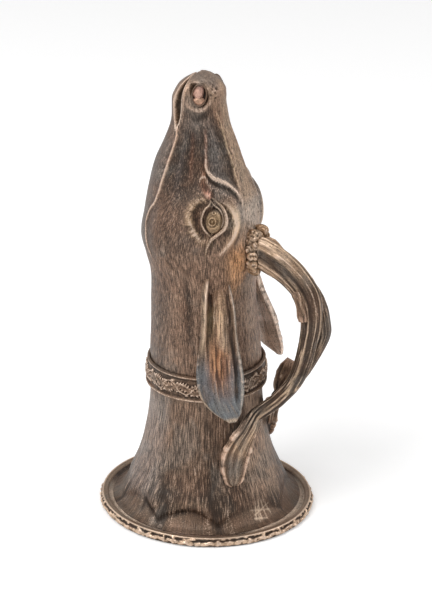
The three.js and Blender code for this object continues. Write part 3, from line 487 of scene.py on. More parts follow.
HEAD_STROKES = [
    # The jaw line, with the hollow of the cheek before it
    (0.7, 0.6, [(119, 129, 0.3), (115, 124, 0.8), (115, 116, 1), (115.5, 108, 1), (118, 101, 1), (121, 94, 1),
                (123, 91, 1), (130.5, 86, 1), (134, 80, 1), (130.5, 74, 1), (127.5, 68, 0.9), (125, 63, 0.6),
                (124, 57, 0)]),
    (-1.3, 5.0, [(102, 127, 0.5), (99, 117, 1), (98, 108, 1), (101, 99, 0.8), (106, 90, 0.3)]),
    (-0.5, 1.8, [(113, 118, 0.3), (111.5, 108, 1), (114, 99, 1), (118, 90, 0.6), (126, 82, 0.2)]),
    (-0.9, 3.0, [(79, 129, 0.2), (77.5, 120, 1), (75.5, 111.5, 1), (74, 105, 0.4)]),
    # The bridge of the nose and the flat beside it
    (0.6, 1.5, [(25, 141.5, 0.4), (20, 131, 1), (17, 122, 1), (18, 113.5, 1), (19, 105, 1), (22, 97, 0.8),
                (26, 90, 0.3)]),
    (0.35, 0.6, [(30, 138, 0.6), (25, 129.5, 1), (25.5, 121.5, 1), (22.5, 115, 1), (22.5, 108, 1),
                 (21.5, 101.5, 0.5)]),
    (-1.2, 3.2, [(40, 138, 0.3), (37, 130, 1), (34, 122, 1), (30, 113, 1), (30, 105, 0.8), (27, 98, 0.3)]),
    (-0.6, 4.5, [(56, 130, 0.5), (55, 121, 1), (50, 112, 1)]),
    # The upright part of the tear ridge, and the small arched fold beside its foot
    (0.7, 0.7, [(60, 132, 0), (61.5, 126.5, 0.4), (63.5, 120.5, 0.8), (63, 116.5, 0.9), (63.5, 112.5, 1)]),
    (0.3, 0.5, [(71.5, 103, 0.3), (70.5, 105, 0.8), (69.5, 106.5, 1), (65.5, 107.5, 1), (62.5, 106.5, 0.9),
                 (62, 104, 0.3)]),
    (-0.8, 1.6, [(66.5, 105, 0.5), (64, 102, 1), (58.5, 98.5, 0.5)]),
    (0.5, 1.1, [(62, 101, 0.4), (61.5, 99.5, 1), (60.5, 98, 0.6)]),
    (-0.5, 0.6, [(57.5, 101, 0.5), (57, 99, 1), (58, 96.5, 0.8)]),
    # Two fine lines under the trough
    (0.2, 0.35, [(52, 101.6, 0.4), (44, 99.4, 1), (36, 97.2, 1), (31, 94, 0.4)]),
    (0.2, 0.35, [(49, 99.6, 0.4), (43, 98.1, 1), (37, 95.6, 1), (33, 92, 0.4)]),
    # Hollows around the eye and over the brow
    (-0.8, 1.6, [(68, 94.5, 0.5), (72, 90.5, 1), (71, 86.5, 1), (68, 82.5, 1), (63, 79, 0.6)]),
    (-0.9, 2.2, [(31, 96, 0.2), (27, 89, 1), (27, 82, 1), (31, 74, 0.8), (38, 67, 0.3)]),
    # Folds where the cheek turns into the neck
    (-0.22, 0.8, [(100, 70, 0.3), (98, 68, 1), (90.5, 63.5, 1), (82.5, 59.5, 1), (77, 57, 0.4)]),
    (-0.18, 0.8, [(108, 68, 0.2), (100, 62, 1), (91, 57.5, 1), (84, 54, 0.3)]),
    (0.3, 2.4, [(110, 62, 0.2), (100, 58, 1), (90, 53, 1), (84, 48, 0.2)]),
    (0.8, 4.5, [(84, 74, 0.2), (90, 84, 1), (96, 92, 0.6)]),
    # Lips, and the soft rim round the nostril
    (0.3, 0.8, [(108, 155, 0.2), (104.5, 151, 1), (102, 146, 1), (101.5, 141, 1), (104, 136, 0.8),
                (112, 131, 0.2)]),
    (0.45, 1.5, [(70, 139.6, 1), (86, 140.8, 1), (98, 144, 0.9), (102, 148.5, 0.6), (95, 153, 0.5),
                 (72, 155.4, 0.4), (52, 153.8, 0.4), (43.5, 149, 0.8), (45, 144, 0.9), (56, 140.8, 1),
                 (70, 139.6, 1)]),
    (-0.5, 1.8, [(90, 136, 0.4), (72, 135.2, 1), (55, 137, 1), (42, 141, 0.6)]),
]
# One-sided folds: height, sharp and soft half widths, depth of the trough, and the line
HEAD_FOLDS = [
    # Tear fold over the eye
    (1.25, 0.5, 2.6, 1.1, [(64, 114, 0.2), (62.5, 110.5, 0.7), (60, 108.5, 1), (54.5, 106, 1), (45, 104.3, 1),
                           (36.5, 102.5, 1), (29, 99.5, 0.8), (25, 96, 0.4), (23, 91, 0)]),
    # Bone on the forehead side of the eye
    (1.1, 1.5, 4.0, 0.6, [(53, 97, 0.2), (43, 95, 0.8), (36.5, 91, 1), (33, 86, 1), (32.5, 82, 1),
                          (35, 78, 1),
                          (40, 73.5, 0.9), (45.5, 69.5, 0.6), (50, 66, 0)]),
    # Bone on the cheek side
    (0.75, 1.4, 2.8, 0.5, [(61, 75, 0.2), (67, 77, 0.7), (71.5, 80, 1), (76.5, 84.5, 1), (79.5, 89, 1),
                           (77.5, 93.5, 0.9),
                           (71.5, 96.5, 0.7), (65, 98, 0.2)]),
]
# Tones drawn along lines: colour, strength, half width and the line
LINE_DARK = srgb(52, 39, 30)
HEAD_TONES = [
    (srgb(40, 30, 24), 0.85, 2.2, [(91, 130, 0.4), (89, 124, 1), (88, 115, 1), (88, 106, 1), (92, 97, 0.4)]),
    (srgb(112, 74, 56), 0.6, 0.9, [(84, 128, 0.4), (83, 120, 1), (82, 112, 1), (80, 105, 0.4)]),
    # Painted shade in the cheek hollow beside the tear ridge
    (srgb(40, 30, 24), 0.7, 1.2, [(77, 124, 0.4), (76, 116, 1), (75, 108, 1), (74, 102, 0.4)]),
    # Painted shadow beside the jaw ridge, on its cheek side
    (LINE_DARK, 0.6, 2.0, [(103, 127, 0.3), (105, 118, 0.9), (106, 108, 1), (109, 99, 1), (113, 90, 0.3)]),
    (LINE_DARK, 0.8, 1.1, [(68.5, 131, 0.5), (67, 124, 1), (66.5, 117.5, 1), (68, 112, 1), (70.5, 108, 0.5)]),
    (LINE_DARK, 0.85, 1.4, [(37, 132, 0.4), (32.5, 124.5, 1), (30.5, 118, 1), (28, 111.5, 1), (27, 106.5, 1),
                            (26.5, 101, 0.4)]),
    # Painted shadow in the trough under the tear fold
    (LINE_DARK, 0.9, 1.0, [(60.5, 106, 0.6), (53.5, 103.6, 1), (44.5, 101.9, 1), (35.5, 100, 1),
                           (29, 97, 0.8),
                           (26, 92, 0.2)]),
    (LINE_DARK, 0.5, 3.0, [(80, 104, 0.5), (76, 99, 1), (70, 97.5, 0.6)]),
    (LINE_DARK, 0.75, 0.8, [(57.5, 101.5, 0.6), (57, 99, 1), (57.5, 96.5, 1)]),
    (LINE_DARK, 0.85, 0.9, [(45, 92.5, 0.6), (40.3, 89, 1), (38.6, 85, 1), (40.6, 81.8, 1), (46, 78.8, 1),
                            (52, 76.4, 1),
                            (55, 73, 0.8), (56.5, 69, 0.3)]),
    (srgb(74, 58, 44), 0.6, 1.0, [(60, 78, 0.5), (62, 75, 1), (61.5, 71, 0.6)]),
    (srgb(104, 74, 54), 0.7, 1.7, [(68.5, 94.5, 0.5), (72, 90.5, 1), (71, 86.5, 1), (68, 82.5, 1),
                                   (62, 79, 0.8)]),
    (BLUE, 0.5, 2.0, [(30, 95, 0.2), (26.5, 89, 1), (26.5, 82, 1), (30, 74, 0.8)]),
    (srgb(150, 104, 84), 0.8, 0.6, [(61, 130, 0.3), (63, 121, 0.8), (63, 116, 1), (63.5, 112, 1)]),
    (srgb(168, 122, 92), 0.6, 1.1, [(66, 112, 0.5), (65, 108.5, 1), (67, 106, 0.6)]),
    (srgb(140, 92, 68), 0.7, 1.6, [(67, 104, 0.8), (64, 101.5, 1), (61, 98.5, 0.8)]),
    (srgb(226, 170, 148), 0.8, 1.1, [(62, 100.4, 0.6), (61.3, 99.4, 1), (60.5, 98.4, 0.8)]),
    (CREAM, 0.75, 0.4, [(63.5, 112, 0.3), (60, 108.5, 1), (54.5, 106, 1), (45, 104.3, 1), (36.5, 102.5, 1),
                        (29, 99.5, 0.8), (25.5, 96.5, 0.4)]),
    (CREAM, 0.25, 0.35, [(70.5, 105, 0.6), (69.5, 106.5, 1), (65.5, 107.5, 1), (62.5, 106.5, 0.8)]),
    (srgb(196, 168, 138), 0.65, 0.7, [(30, 138, 0.6), (25, 129.5, 1), (25.5, 121.5, 1), (22.5, 115, 1),
                                      (22.5, 108, 1), (21.5, 101.5, 0.6), (21, 95, 0)]),
    (srgb(190, 150, 122), 0.6, 0.7, [(38, 143, 0.4), (34, 137, 1), (29, 131, 0.8)]),
    # Painted highlight along the bone on the forehead side of the eye
    (srgb(232, 202, 170), 0.8, 2.4, [(41, 93.5, 0.4), (35.5, 89.5, 1), (32.8, 85, 1), (33, 81, 0.9),
                                     (36, 77, 0.4),
                                     (41, 72.5, 0.2)]),
    (srgb(186, 156, 124), 0.6, 1.3, [(68, 97, 0.5), (76, 94, 1), (79, 90, 1), (78, 87, 1), (74, 82.5, 1),
                                     (69, 79, 0.7), (64, 75.5, 0.3)]),
    (ROSE, 0.75, 0.45, [(119, 129, 0.5), (115, 124, 0.8), (115, 116, 1), (115.5, 108, 1), (118, 101, 1),
                        (121, 94, 1),
                        (123, 91, 1), (130.5, 86, 1), (134, 80, 1), (130.5, 74, 1), (127.5, 68, 0.8),
                        (125, 62, 0.4)]),
    (ROSE, 0.6, 0.5, [(110, 154, 0.4), (105.5, 151, 1), (103, 146, 1), (102.5, 141, 0.8), (105, 136, 0.5)]),
    (srgb(196, 160, 136), 0.6, 1.0, [(98, 144, 0.8), (86, 140.8, 1), (70, 139.6, 1), (56, 140.8, 1),
                                     (46, 144, 0.6)]),
    (TAN, 0.5, 1.6, [(43, 150, 0.5), (38, 146, 1), (34, 141, 0.7)]),
    (LINE_DARK, 0.6, 1.8, [(90, 137, 0.3), (72, 136, 1), (55, 137.5, 1), (44, 141, 0.3)]),
    # Painted shade on the neck along the ear's edge: a broad reddish-brown band with a dark line in it
    (srgb(84, 56, 40), 0.5, 2.6, [(84, 56, 0.2), (83, 44, 1), (81, 28, 1), (81, 8, 0.4)]),
    (LINE_DARK, 0.8, 1.6, [(81, 58, 0.2), (80, 46, 1), (78, 34, 1), (77, 22, 0.6)]),
]
# Pits of the nose pad, as turn and height
PAD_PITS = [(39, 151.6), (41.5, 150.3), (45, 147.6), (32.5, 145.9), (36, 152.4), (29.5, 150.5), (34, 148.6)]

HEAD_COLUMNS = 460
HEAD_ROW = 0.55
head_heights = np.concatenate([
    np.linspace(GAP, DOME_START, round((DOME_START - GAP) / HEAD_ROW)),
    DOME_START + DOME * np.sin(np.linspace(0, 89, 52)[1:] * DEG),
])
head_turns = around(HEAD_COLUMNS, -math.pi)


def hair_tufts(strand, seed):
    """Fine uneven ridges that follow the hair."""
    return 0.04 * noise(strand, (2.0, 2.0, 0.8), seed) + 0.06 * noise(strand, (1.0, 1.0, 0.4), seed + 1)


def head_outside():
    """The head's skin with its hair, features and tints."""
    turn, up = np.meshgrid(head_turns, head_heights)
    skin = head_point(turn, up)
    across, run = head_chart(turn, up)
    degrees = np.abs(turn) / DEG

    def away_from(spot_turn, spot_up, wide=1, tall=1):
        middle = head_chart(spot_turn * DEG, np.array(spot_up, float))
        return np.hypot((across - middle[0]) / wide, (run - middle[1]) / tall)

    height = -0.9 * blend(149, 156, up)
    for rise, width, line in HEAD_STROKES:
        height += stroke(across, run, head_line(line), rise, width)
    folds = sum(fold(across, run, head_line(line), *sizes) for *sizes, line in HEAD_FOLDS)
    height += folds

    # The open mouth: a slot along each side that meets over the tip of the muzzle, and the slim lower lip
    drop = HEAD_LENGTH - up
    mouth_x, gape = np.moveaxis(along(MOUTH[:, 0], MOUTH[:, 1:], drop), -1, 0)
    from_slot = skin[..., 0] - mouth_x
    slot = blend(0.28, -0.28, np.abs(from_slot) - gape / 2) * (drop < MOUTH[-1, 0]) * (degrees > 60)
    height -= (1.8 + 1.5 * blend(2, 8, drop)) * slot
    height -= 0.7 * blend(126, 138, degrees) * blend(HEAD_LENGTH - 17, HEAD_LENGTH - 9, up)

    # Seats of the eyes and nostrils
    seats = np.zeros_like(turn)
    for centre_turn, centre_up, half_wide, half_tall, depth in (
        (EYE_TURN, EYE_UP, 5.3, 7.2, 1.1),
        (NOSTRIL_TURN, NOSTRIL_UP, NOSTRIL_WIDE + GAP, NOSTRIL_TALL + GAP, 3.4),
    ):
        ring = away_from(centre_turn, centre_up, half_wide, half_tall)
        seats += depth * (1 - blend(0.86, 1.06, ring))
    height -= seats

    # Radiating hair on the bone of the cheek side
    eye_across = head_chart(EYE_TURN * DEG, np.array(EYE_UP, float))[0]
    from_eye = away_from(EYE_TURN, EYE_UP)
    around_eye = np.arctan2(run - EYE_UP, across - eye_across)
    spokes = noise(wheel(9, around_eye, from_eye / 6), (0.34, 0.34, 1), 15)
    spokes = spokes * bell_curve(from_eye - 11, 2.4) * (across > eye_across)
    height += 0.17 * spokes

    # Rough pad of the nose, bone that carries the antlers, and hair in tufts
    swell = np.exp(-((skin[..., 1] ** 2 / 8.5 ** 2) + ((up - ROOT_UP) / 12.5) ** 2)) * (skin[..., 0] > 0)
    height += 1.4 * swell
    bare = np.exp(-((across - 9) / 9) ** 2) * blend(141, 147, up)
    fur = 1 - 0.7 * np.clip(folds, 0, 1) - 0.75 * blend(142, 148, up)
    fur = np.maximum(fur - 0.45 * blend(104, 114, degrees) * blend(56, 70, up), 0.1)
    waves = noise(np.stack([skin[..., 0], skin[..., 1], up], -1), (24, 24, 22), 3)
    cheek = blend(58, 92, degrees) * blend(136, 102, degrees)
    flow = turn + 0.03 * waves * blend(5, 40, up) + np.sign(turn) * 0.28 * blend(66, 112, up) * cheek
    strand = wheel(28.5 - 10 * blend(70, 140, up), flow, 0.13 * (run + 3 * waves))
    height += hair_tufts(strand, 11) * fur * blend(0, 6, up)
    rough_skin = bare + 0.8 * bell_curve(away_from(NOSTRIL_TURN, NOSTRIL_UP, 0.8) - 8, 2)
    height += 0.19 * rough_skin * noise(skin, (1.5, 1.5, 1.5), 13)
    height += 0.16 * (1 - 0.5 * bare) * noise(skin, (9, 9, 14), 14)
    for pit_turn, pit_up in PAD_PITS:
        height -= 0.7 * bell_curve(away_from(pit_turn, pit_up), 0.6)
    normals = grid_normals(skin, skin * (0, 0, 1) - (3, 0, 2))
    points = skin + normals * height[..., None]

    coat = Coat(turn.shape, srgb(132, 106, 88))
    paint = coat.paint

    def spot(t, u, wide, tall):
        return np.exp(-((degrees - t) / wide) ** 2 - ((up - u) / tall) ** 2)

    face_area = blend(118, 108, degrees) * blend(88, 104, up)
    paint((0.85 - 0.35 * blend(122, 138, up)) * face_area * blend(20, 34, degrees), srgb(64, 52, 45))
    cheek_low = blend(60, 74, degrees) * blend(124, 112, degrees) * blend(58, 74, up) * blend(104, 92, up)
    paint(0.6 * cheek_low, srgb(80, 63, 52))
    paint(0.85 * blend(112, 122, degrees) * blend(52, 66, up), srgb(96, 85, 78))
    paint(0.4 * blend(126, 140, degrees) * blend(92, 80, up) * blend(60, 72, up), srgb(96, 86, 78))
    cheek_high = blend(88, 98, up) * blend(116, 106, degrees) * blend(62, 76, degrees) * blend(140, 128, up)
    paint(0.5 * cheek_high, DARK)
    paint(0.6 * spot(50, 119, 10, 15), BLUE)
    paint(0.6 * spot(78, 132, 22, 8), srgb(118, 110, 104))
    paint(0.45 * spot(97, 112, 5, 14), srgb(104, 96, 94))
    # Painted light on the bridge of the nose and on the forehead between the eyes, as light from above and
    # the right
    paint(0.7 * blend(24, 12, degrees) * blend(84, 98, up), srgb(192, 164, 138))
    paint(0.8 * blend(42, 22, degrees) * blend(66, 74, up) * blend(100, 88, up), srgb(200, 182, 166))
    paint(0.5 * blend(138, 146, up), srgb(172, 144, 122))
    paint(0.5 * blend(151, 156, up), srgb(134, 121, 112))
    paint(0.55 * spot(30, 152, 16, 3), srgb(92, 84, 80))
    paint(0.95 * spot(25, 62, 13, 15), srgb(214, 160, 114))
    paint(0.7 * blend(92, 112, degrees) * blend(62, 48, up), srgb(92, 77, 67))
    # Painted highlight: a light strip down the front of the neck, under the antler roots
    paint(0.55 * blend(16, 7, degrees) * blend(60, 50, up) * blend(0, 8, up), srgb(170, 142, 120))
    for colour, strength, width, line in HEAD_TONES:
        paint(stroke(across, run, head_line(line), strength, width), colour)
    paint(0.75 * slot, srgb(70, 57, 38))
    paint(0.7 * slot * bell_curve(up - 132.5, 2.2), srgb(170, 140, 104))
    paint(0.7 * blend(0.5, 0.1, np.abs(from_slot + gape / 2 + 0.45)) * (drop < 27) * (degrees > 100), ROSE)
    paint(np.clip(0.7 * spokes, 0, 0.5), srgb(196, 164, 128))
    paint(np.clip(-1.2 * spokes, 0, 0.8), SHADE)
    values = flat_values(turn.shape, height + 0.85 * seats, coat.tint, fur, strand, window=(3, 3), gain=1.35)
    return points, values


def inner_values(shape):
    """Plain finish values for what lies inside the cup."""
    return flat_values(shape, None, srgb(112, 92, 78), 0.12)


def head_inside():
    """Rings from the top of the hollow down to the foot of the spigot and up its outside."""
    turn = head_turns
    last = head_point(turn, BORE_TOP, WALL)
    centre = last.mean(0)
    rings = []
    for angle in (89, 75, 60, 45, 30, 15):
        ring = centre + (last - centre) * math.cos(angle * DEG)
        ring[:, 2] += BORE_DOME * math.sin(angle * DEG)
        rings.append(ring)
    rings += [head_point(turn, up, WALL) for up in np.linspace(BORE_TOP, 9, 22)]
    spigot = BELL_NECK - BELL_WALL - GAP
    for radius, z in (
        (spigot - WALL, BELL_HEIGHT), (spigot - WALL, BELL_HEIGHT - SPIGOT_LENGTH + 0.5),
        (spigot - WALL + 0.5, BELL_HEIGHT - SPIGOT_LENGTH), (spigot - 0.5, BELL_HEIGHT - SPIGOT_LENGTH),
        (spigot, BELL_HEIGHT - SPIGOT_LENGTH + 0.5), (spigot, BELL_HEIGHT),
    ):
        rings.append(wheel(radius, -turn, z))
    return np.stack(rings)


def stacked(*blocks):
    """Joins grids of points and values with the same columns into one."""
    points = np.concatenate([b[0] for b in blocks])
    return points, {k: np.concatenate([b[1][k] for b in blocks]) for k in blocks[0][1]}


def build_head():
    inside = head_inside()
    points, values = stacked((inside, inner_values(inside.shape[:2])), head_outside())
    make_piece("head", [grid_shell(points, values)], "patinated_metal", "head_shell")


# The bell, with its locks of hair, and the flange
def oval(radius, turn, z):
    """Points round the cup on rings that grow oval toward the rim."""
    squeeze = 1 - blend(44, RIM_LONG, radius) * (1 - RIM_WIDE / RIM_LONG)
    return np.stack(np.broadcast_arrays(radius * np.cos(turn), -radius * squeeze * np.sin(turn), z), -1)


def bell_radius(z):
    return along(BELL[:, 0], BELL[:, 1], z)


# The locks of hair round the bell, and the turn of the first gap between them
LOCKS, LOCK_START = 8, 4


def lock_shape(turn, z):
    """How far the locks stand out, the height of their lower edge, and how strongly each arch shows."""
    degrees = turn / DEG
    degrees = degrees - 5.5 * bell_curve(degrees - 54, 18) - 2 * bell_curve(degrees - 96, 14)
    arch = np.abs(np.sin(math.pi * (degrees - LOCK_START) * LOCKS / 360)) ** 0.8
    edge = 6.5 + 7.5 * arch
    near = 0.3 + 0.7 * blend(30, 52, degrees) * blend(122, 98, degrees)
    return 2.2 * near * blend(edge - 1.8, edge + 3.2, z) * (1 - blend(15, 31, z)), edge, arch * near


BELL_COLUMNS = 460
# A turn round the bell is charted at this radius, in millimetres
BELL_CHART = 42
BELL_STROKES = [
    # Creases that climb from the feet of the near locks, in degrees of turn and height
    (-0.9, 3.2, [(93, 5, 1), (94, 14, 1), (96, 24, 0.7), (98, 36, 0)]),
    (-0.9, 3.4, [(54, 5, 1), (56, 14, 1), (60, 24, 0.8), (64, 36, 0)]),
    (-0.5, 2.0, [(139, 5, 1), (137, 14, 0.8), (134, 26, 0)]),
    (-0.4, 1.6, [(112, 9, 0.8), (110, 16, 1), (106, 26, 0)]),
]

# A patch of crossed scratches by the flange
SCRATCHES = [
    [(24, 15, 0.6), (27, 7, 1)], [(21.5, 15.5, 1), (23, 6.5, 1)], [(19, 15, 1), (18.5, 7, 0.8)],
    [(16.5, 14.5, 0.8), (14, 7.5, 0.7)], [(22.8, 12.5, 1), (25, 5.8, 0.6)],
    [(29, 11.5, 0.5), (14, 9, 1)], [(27, 9, 1), (13, 12, 0.6)], [(28, 7.5, 0.8), (19, 6.2, 0.8)],
]


def bell_stroke(turn, z, line, height, width):
    """A line over the bell, given in degrees of turn and height."""
    line = np.array(line, float)
    line[:, 0] *= DEG * BELL_CHART
    return stroke(turn * BELL_CHART, z, line, height, width)


def build_bell():
    """The bell's skin, the flange under it and the bore, as one ring of rows."""
    turn = around(BELL_COLUMNS, -math.pi)
    heights = np.concatenate([np.linspace(BELL[0, 0], 16, 34), np.linspace(16.4, BELL_HEIGHT, 130)])
    t, z = np.meshgrid(turn, heights)
    locks, edge, arch = lock_shape(t, z)
    skin = oval(bell_radius(z) + locks, t, z)
    height = sum(bell_stroke(t, z, line, rise, width) for rise, width, line in BELL_STROKES)
    flow = t + 0.035 * noise(np.stack([skin[..., 0], skin[..., 1], z], -1), (26, 26, 24), 5)
    strand = wheel(30 + 2.5 * blend(50, 8, z), flow, 0.065 * z + 40)
    fur = 1.1 - 0.7 * blend(edge + 1.5, edge - 1.8, z)
    height += hair_tufts(strand, 21) * fur + 0.2 * noise(skin, (10, 10, 16), 23)
    points = skin + grid_normals(skin, skin * (0, 0, 1) - (0, 0, 8)) * height[..., None]

    # Dark toward the flange and between the locks, with a painted highlight and a painted shadow along their
    # ends
    coat = Coat(t.shape, srgb(118, 95, 78))
    paint = coat.paint
    degrees = t / DEG
    near_feet = np.minimum(np.abs(degrees - 54 - 0.25 * (z - 6)), np.abs(degrees - 93 - 0.12 * (z - 6)))
    spacing = 360 / LOCKS
    around_lock = np.abs((degrees - LOCK_START + spacing / 2) % spacing - spacing / 2)
    foot = np.where((degrees > 26) & (degrees < 116), near_feet, around_lock)
    feet = bell_curve(foot, 5.0) * blend(40, 12, z) * blend(3, 8, z)
    left_glow = blend(96, 116, degrees) * blend(160, 140, degrees) * blend(10, 22, z) * blend(75, 60, z)
    paint(0.85 * blend(44, 18, z), srgb(60, 47, 37))
    paint(0.65 * feet * (0.4 + 0.6 * blend(30, 50, degrees)), SHADE)
    # Painted highlight on the lower edge of each bulging lock
    paint(0.5 * bell_curve(z - edge - 4.0, 1.8) * blend(0.4, 0.9, arch), srgb(146, 120, 98))
    paint(0.75 * blend(edge - 0.2, edge - 2.8, z), srgb(98, 78, 62))
    # Painted shadow under the overhang of each lock
    paint(0.85 * bell_curve(z - edge + 0.2, 1.7) * blend(0.12, 0.75, arch), srgb(42, 31, 24))
    # Painted sheen: cool grey on the bell's left side
    paint(0.55 * left_glow, srgb(168, 156, 148))
    # Painted light over the front of the bell and its right side
    paint(0.7 * blend(34, 20, degrees) * blend(-30, 0, degrees) * blend(10, 22, z), srgb(164, 138, 118))
    # Painted shadow of the left ear and antler: a dark upright band on the bell
    paint(0.55 * bell_curve(degrees - 58, 7) * blend(74, 60, z) * blend(20, 34, z), SHADE)
    for line in SCRATCHES:
        paint(0.8 * bell_stroke(t, z, line, 1, 0.3), srgb(206, 182, 158))
    values = flat_values(t.shape, height, coat.tint, fur, strand, window=(4, 4), gain=1.6)

    # Flange: a dished ring out to the moulding, then its underside and the bore
    f, s = np.meshgrid(turn, np.linspace(0, 1, 26))
    reach = FLANGE_EDGE + (BELL[0, 1] - FLANGE_EDGE) * s
    dish = 0.55 * np.sin(math.pi * s) * (0.6 + 0.4 * np.abs(np.sin(4 * f)))
    ripple = 0.1 * noise(wheel(60, f, 9 * s), (5, 5, 2.4), 31)
    to_rim = 0.95 * blend(RIM_LONG - RIM_DEPTH - 2.6, RIM_LONG - RIM_DEPTH + 0.3, reach)
    top = oval(reach, f, FLANGE_TOP + 0.8 * blend(0.7, 1, s) + to_rim - dish * 0.6 + ripple)
    degrees = f / DEG
    lit = blend(85, 125, degrees) * blend(175, 150, degrees)
    lit = lit + blend(46, 20, degrees) * blend(-60, -20, degrees)
    top_coat = Coat(f.shape, srgb(66, 50, 39))
    top_coat.paint(0.95 * lit, srgb(186, 164, 144))
    ring_strand = wheel(0.25 * reach, f, 0.8 * reach)
    top_values = flat_values(f.shape, ripple - dish * 0.3, top_coat.tint, 0.35, ring_strand, gain=1.6)
    inner = [(bell_radius(z) - BELL_WALL, z) for z in np.linspace(BELL_HEIGHT, BELL[0, 0], 40)]
    inner += [(radius, FLANGE_LOW) for radius in np.linspace(BELL[0, 1] - BELL_WALL, FLANGE_EDGE, 6)]
    inside = np.stack([oval(np.full_like(turn, radius), turn, z) for radius, z in inner])
    points, values = stacked(
        (inside, inner_values(inside.shape[:2])), (top, top_values), (points, values),
    )
    make_piece("bell", [grid_shell(points, values, loop=True)], "patinated_metal", "mouth_bell")


# Ornament rings: the collar on the neck and the moulding round the rim
COLLAR_COLUMNS, RIM_COLUMNS = 1100, 1300


def leaf_mask(x, y, length, width):
    """A pointed leaf along x, one high along its midrib."""
    share = np.clip(np.abs(x) / length, 0, 1)
    outline = width * (1 - share ** 1.7)
    return np.where(np.abs(x) < length, np.clip(1 - (y / np.maximum(outline, 1e-3)) ** 2, 0, 1), 0)


def build_collar():
    """A band of scrolls between a double bead below and a single one above."""
    low, high = BELL_HEIGHT - 11, BELL_HEIGHT + 3.4
    inner, face = BELL_NECK + GAP, BELL_NECK + GAP + 1.6
    slope = 0.8
    band_low, band_high = low + 1.9, high - 2.0

    def stand(z):
        return face - slope * (z - low) / (high - low)

    def bead(z, out, radius, start, end):
        arc = [math.radians(a) for a in np.linspace(start, end, 9)]
        return [(stand(z) + out + radius * (math.cos(a) - 0.6), z + radius * math.sin(a)) for a in arc]

    profile = [(inner, low + 0.1)]
    profile += bead(low + 0.75, 0.35, 0.65, -90, 70) + bead(low + 1.75, 0.5, 0.35, -90, 70)
    for z in np.linspace(band_low + 0.3, band_high - 0.3, 44):
        share = (z - band_low) / (band_high - band_low)
        profile.append((stand(z) + 0.1 + 0.7 * math.sin(math.pi * share), z))
    edge_z = high - 1.45
    profile += [*bead(edge_z, 0.3, 0.42, -70, 90), (inner + 0.3, high - 0.75), (inner, high - 0.5)]
    profile = np.array(profile)
    t, r = np.meshgrid(around(COLLAR_COLUMNS, -math.pi), profile[:, 0])
    z = profile[:, 1:] + 0 * t
    skin = wheel(r, -t, z)
    ring = wheel(face, t, z)

    # An uneven scroll: a waving stem, and on each bend a hollowed leaf with a lobed edge
    uneven = noise(ring, (4.5, 4.5, 3.5), 41)
    across = t * face + 1.1 * uneven
    rise = z - (band_low + band_high) / 2 + 0.6 * noise(ring, (6, 6, 4), 42)
    repeats = 12
    pitch = 2 * math.pi * face / repeats
    wave = 2 * math.pi * across / pitch
    slope_of_stem = np.hypot(1, 2.7 * 2 * math.pi / pitch * np.cos(wave))
    height = 0.9 * bell_curve((rise - 2.7 * np.sin(wave)) / slope_of_stem, 0.45)
    for half, sign in ((0.25, -1), (0.75, 1)):
        place = (across / pitch - half + 0.5) % 1 - 0.5
        x, y = place * pitch, rise - sign * 0.9
        for angle, long, wide, shift in ((24, 5.2, 2.3, 0.6), (-30, 3.2, 1.6, -4.0), (72, 2.6, 1.3, 4.3)):
            c, s = math.cos(angle * DEG * sign), math.sin(angle * DEG * sign)
            u, v = (x - shift) * c + y * s, -(x - shift) * s + y * c
            lobed = wide * (1 + 0.28 * np.sin(4.2 * u + sign))
            leaf = leaf_mask(u, v, long, lobed)
            hollow = 0.75 * bell_curve(v / wide, 0.34) * bell_curve(u / long, 0.6)
            height = np.maximum(height, 1.0 * leaf ** 0.45 - hollow)
        height = np.maximum(height, 1.05 * bell_curve(np.hypot(x + 1.0, rise + sign * 3.3), 0.85))
    inside_band = blend(band_low - 0.1, band_low + 0.4, z) * blend(band_high + 0.1, band_high - 0.4, z)
    front = r > inner + 0.6
    height = (height - 0.45 + 0.22 * noise(ring, (1.5, 1.5, 1.2), 44)) * inside_band * front
    beads = (1 - inside_band) * front
    height += 0.12 * beads * noise(ring, (2.4, 2.4, 1.0), 43)
    points = skin + grid_normals(skin, skin * (0, 0, 1)) * height[..., None] * 0.9
    finish = height + 0.5 * beads * bell_curve(np.minimum(np.abs(z - low - 0.9), np.abs(z - edge_z)), 0.45)
    coat = Coat(t.shape, srgb(128, 104, 85))
    coat.paint(0.6 * inside_band * blend(0.0, -0.4, height), srgb(66, 49, 38))
    strand = wheel(30, t, 0.5 * z)
    values = flat_values(t.shape, finish, coat.tint, 0.2, strand, window=(4, 8), gain=1.5)
    make_piece("collar", [grid_shell(points, values, loop=True)], "worn_metal", "collar_band")


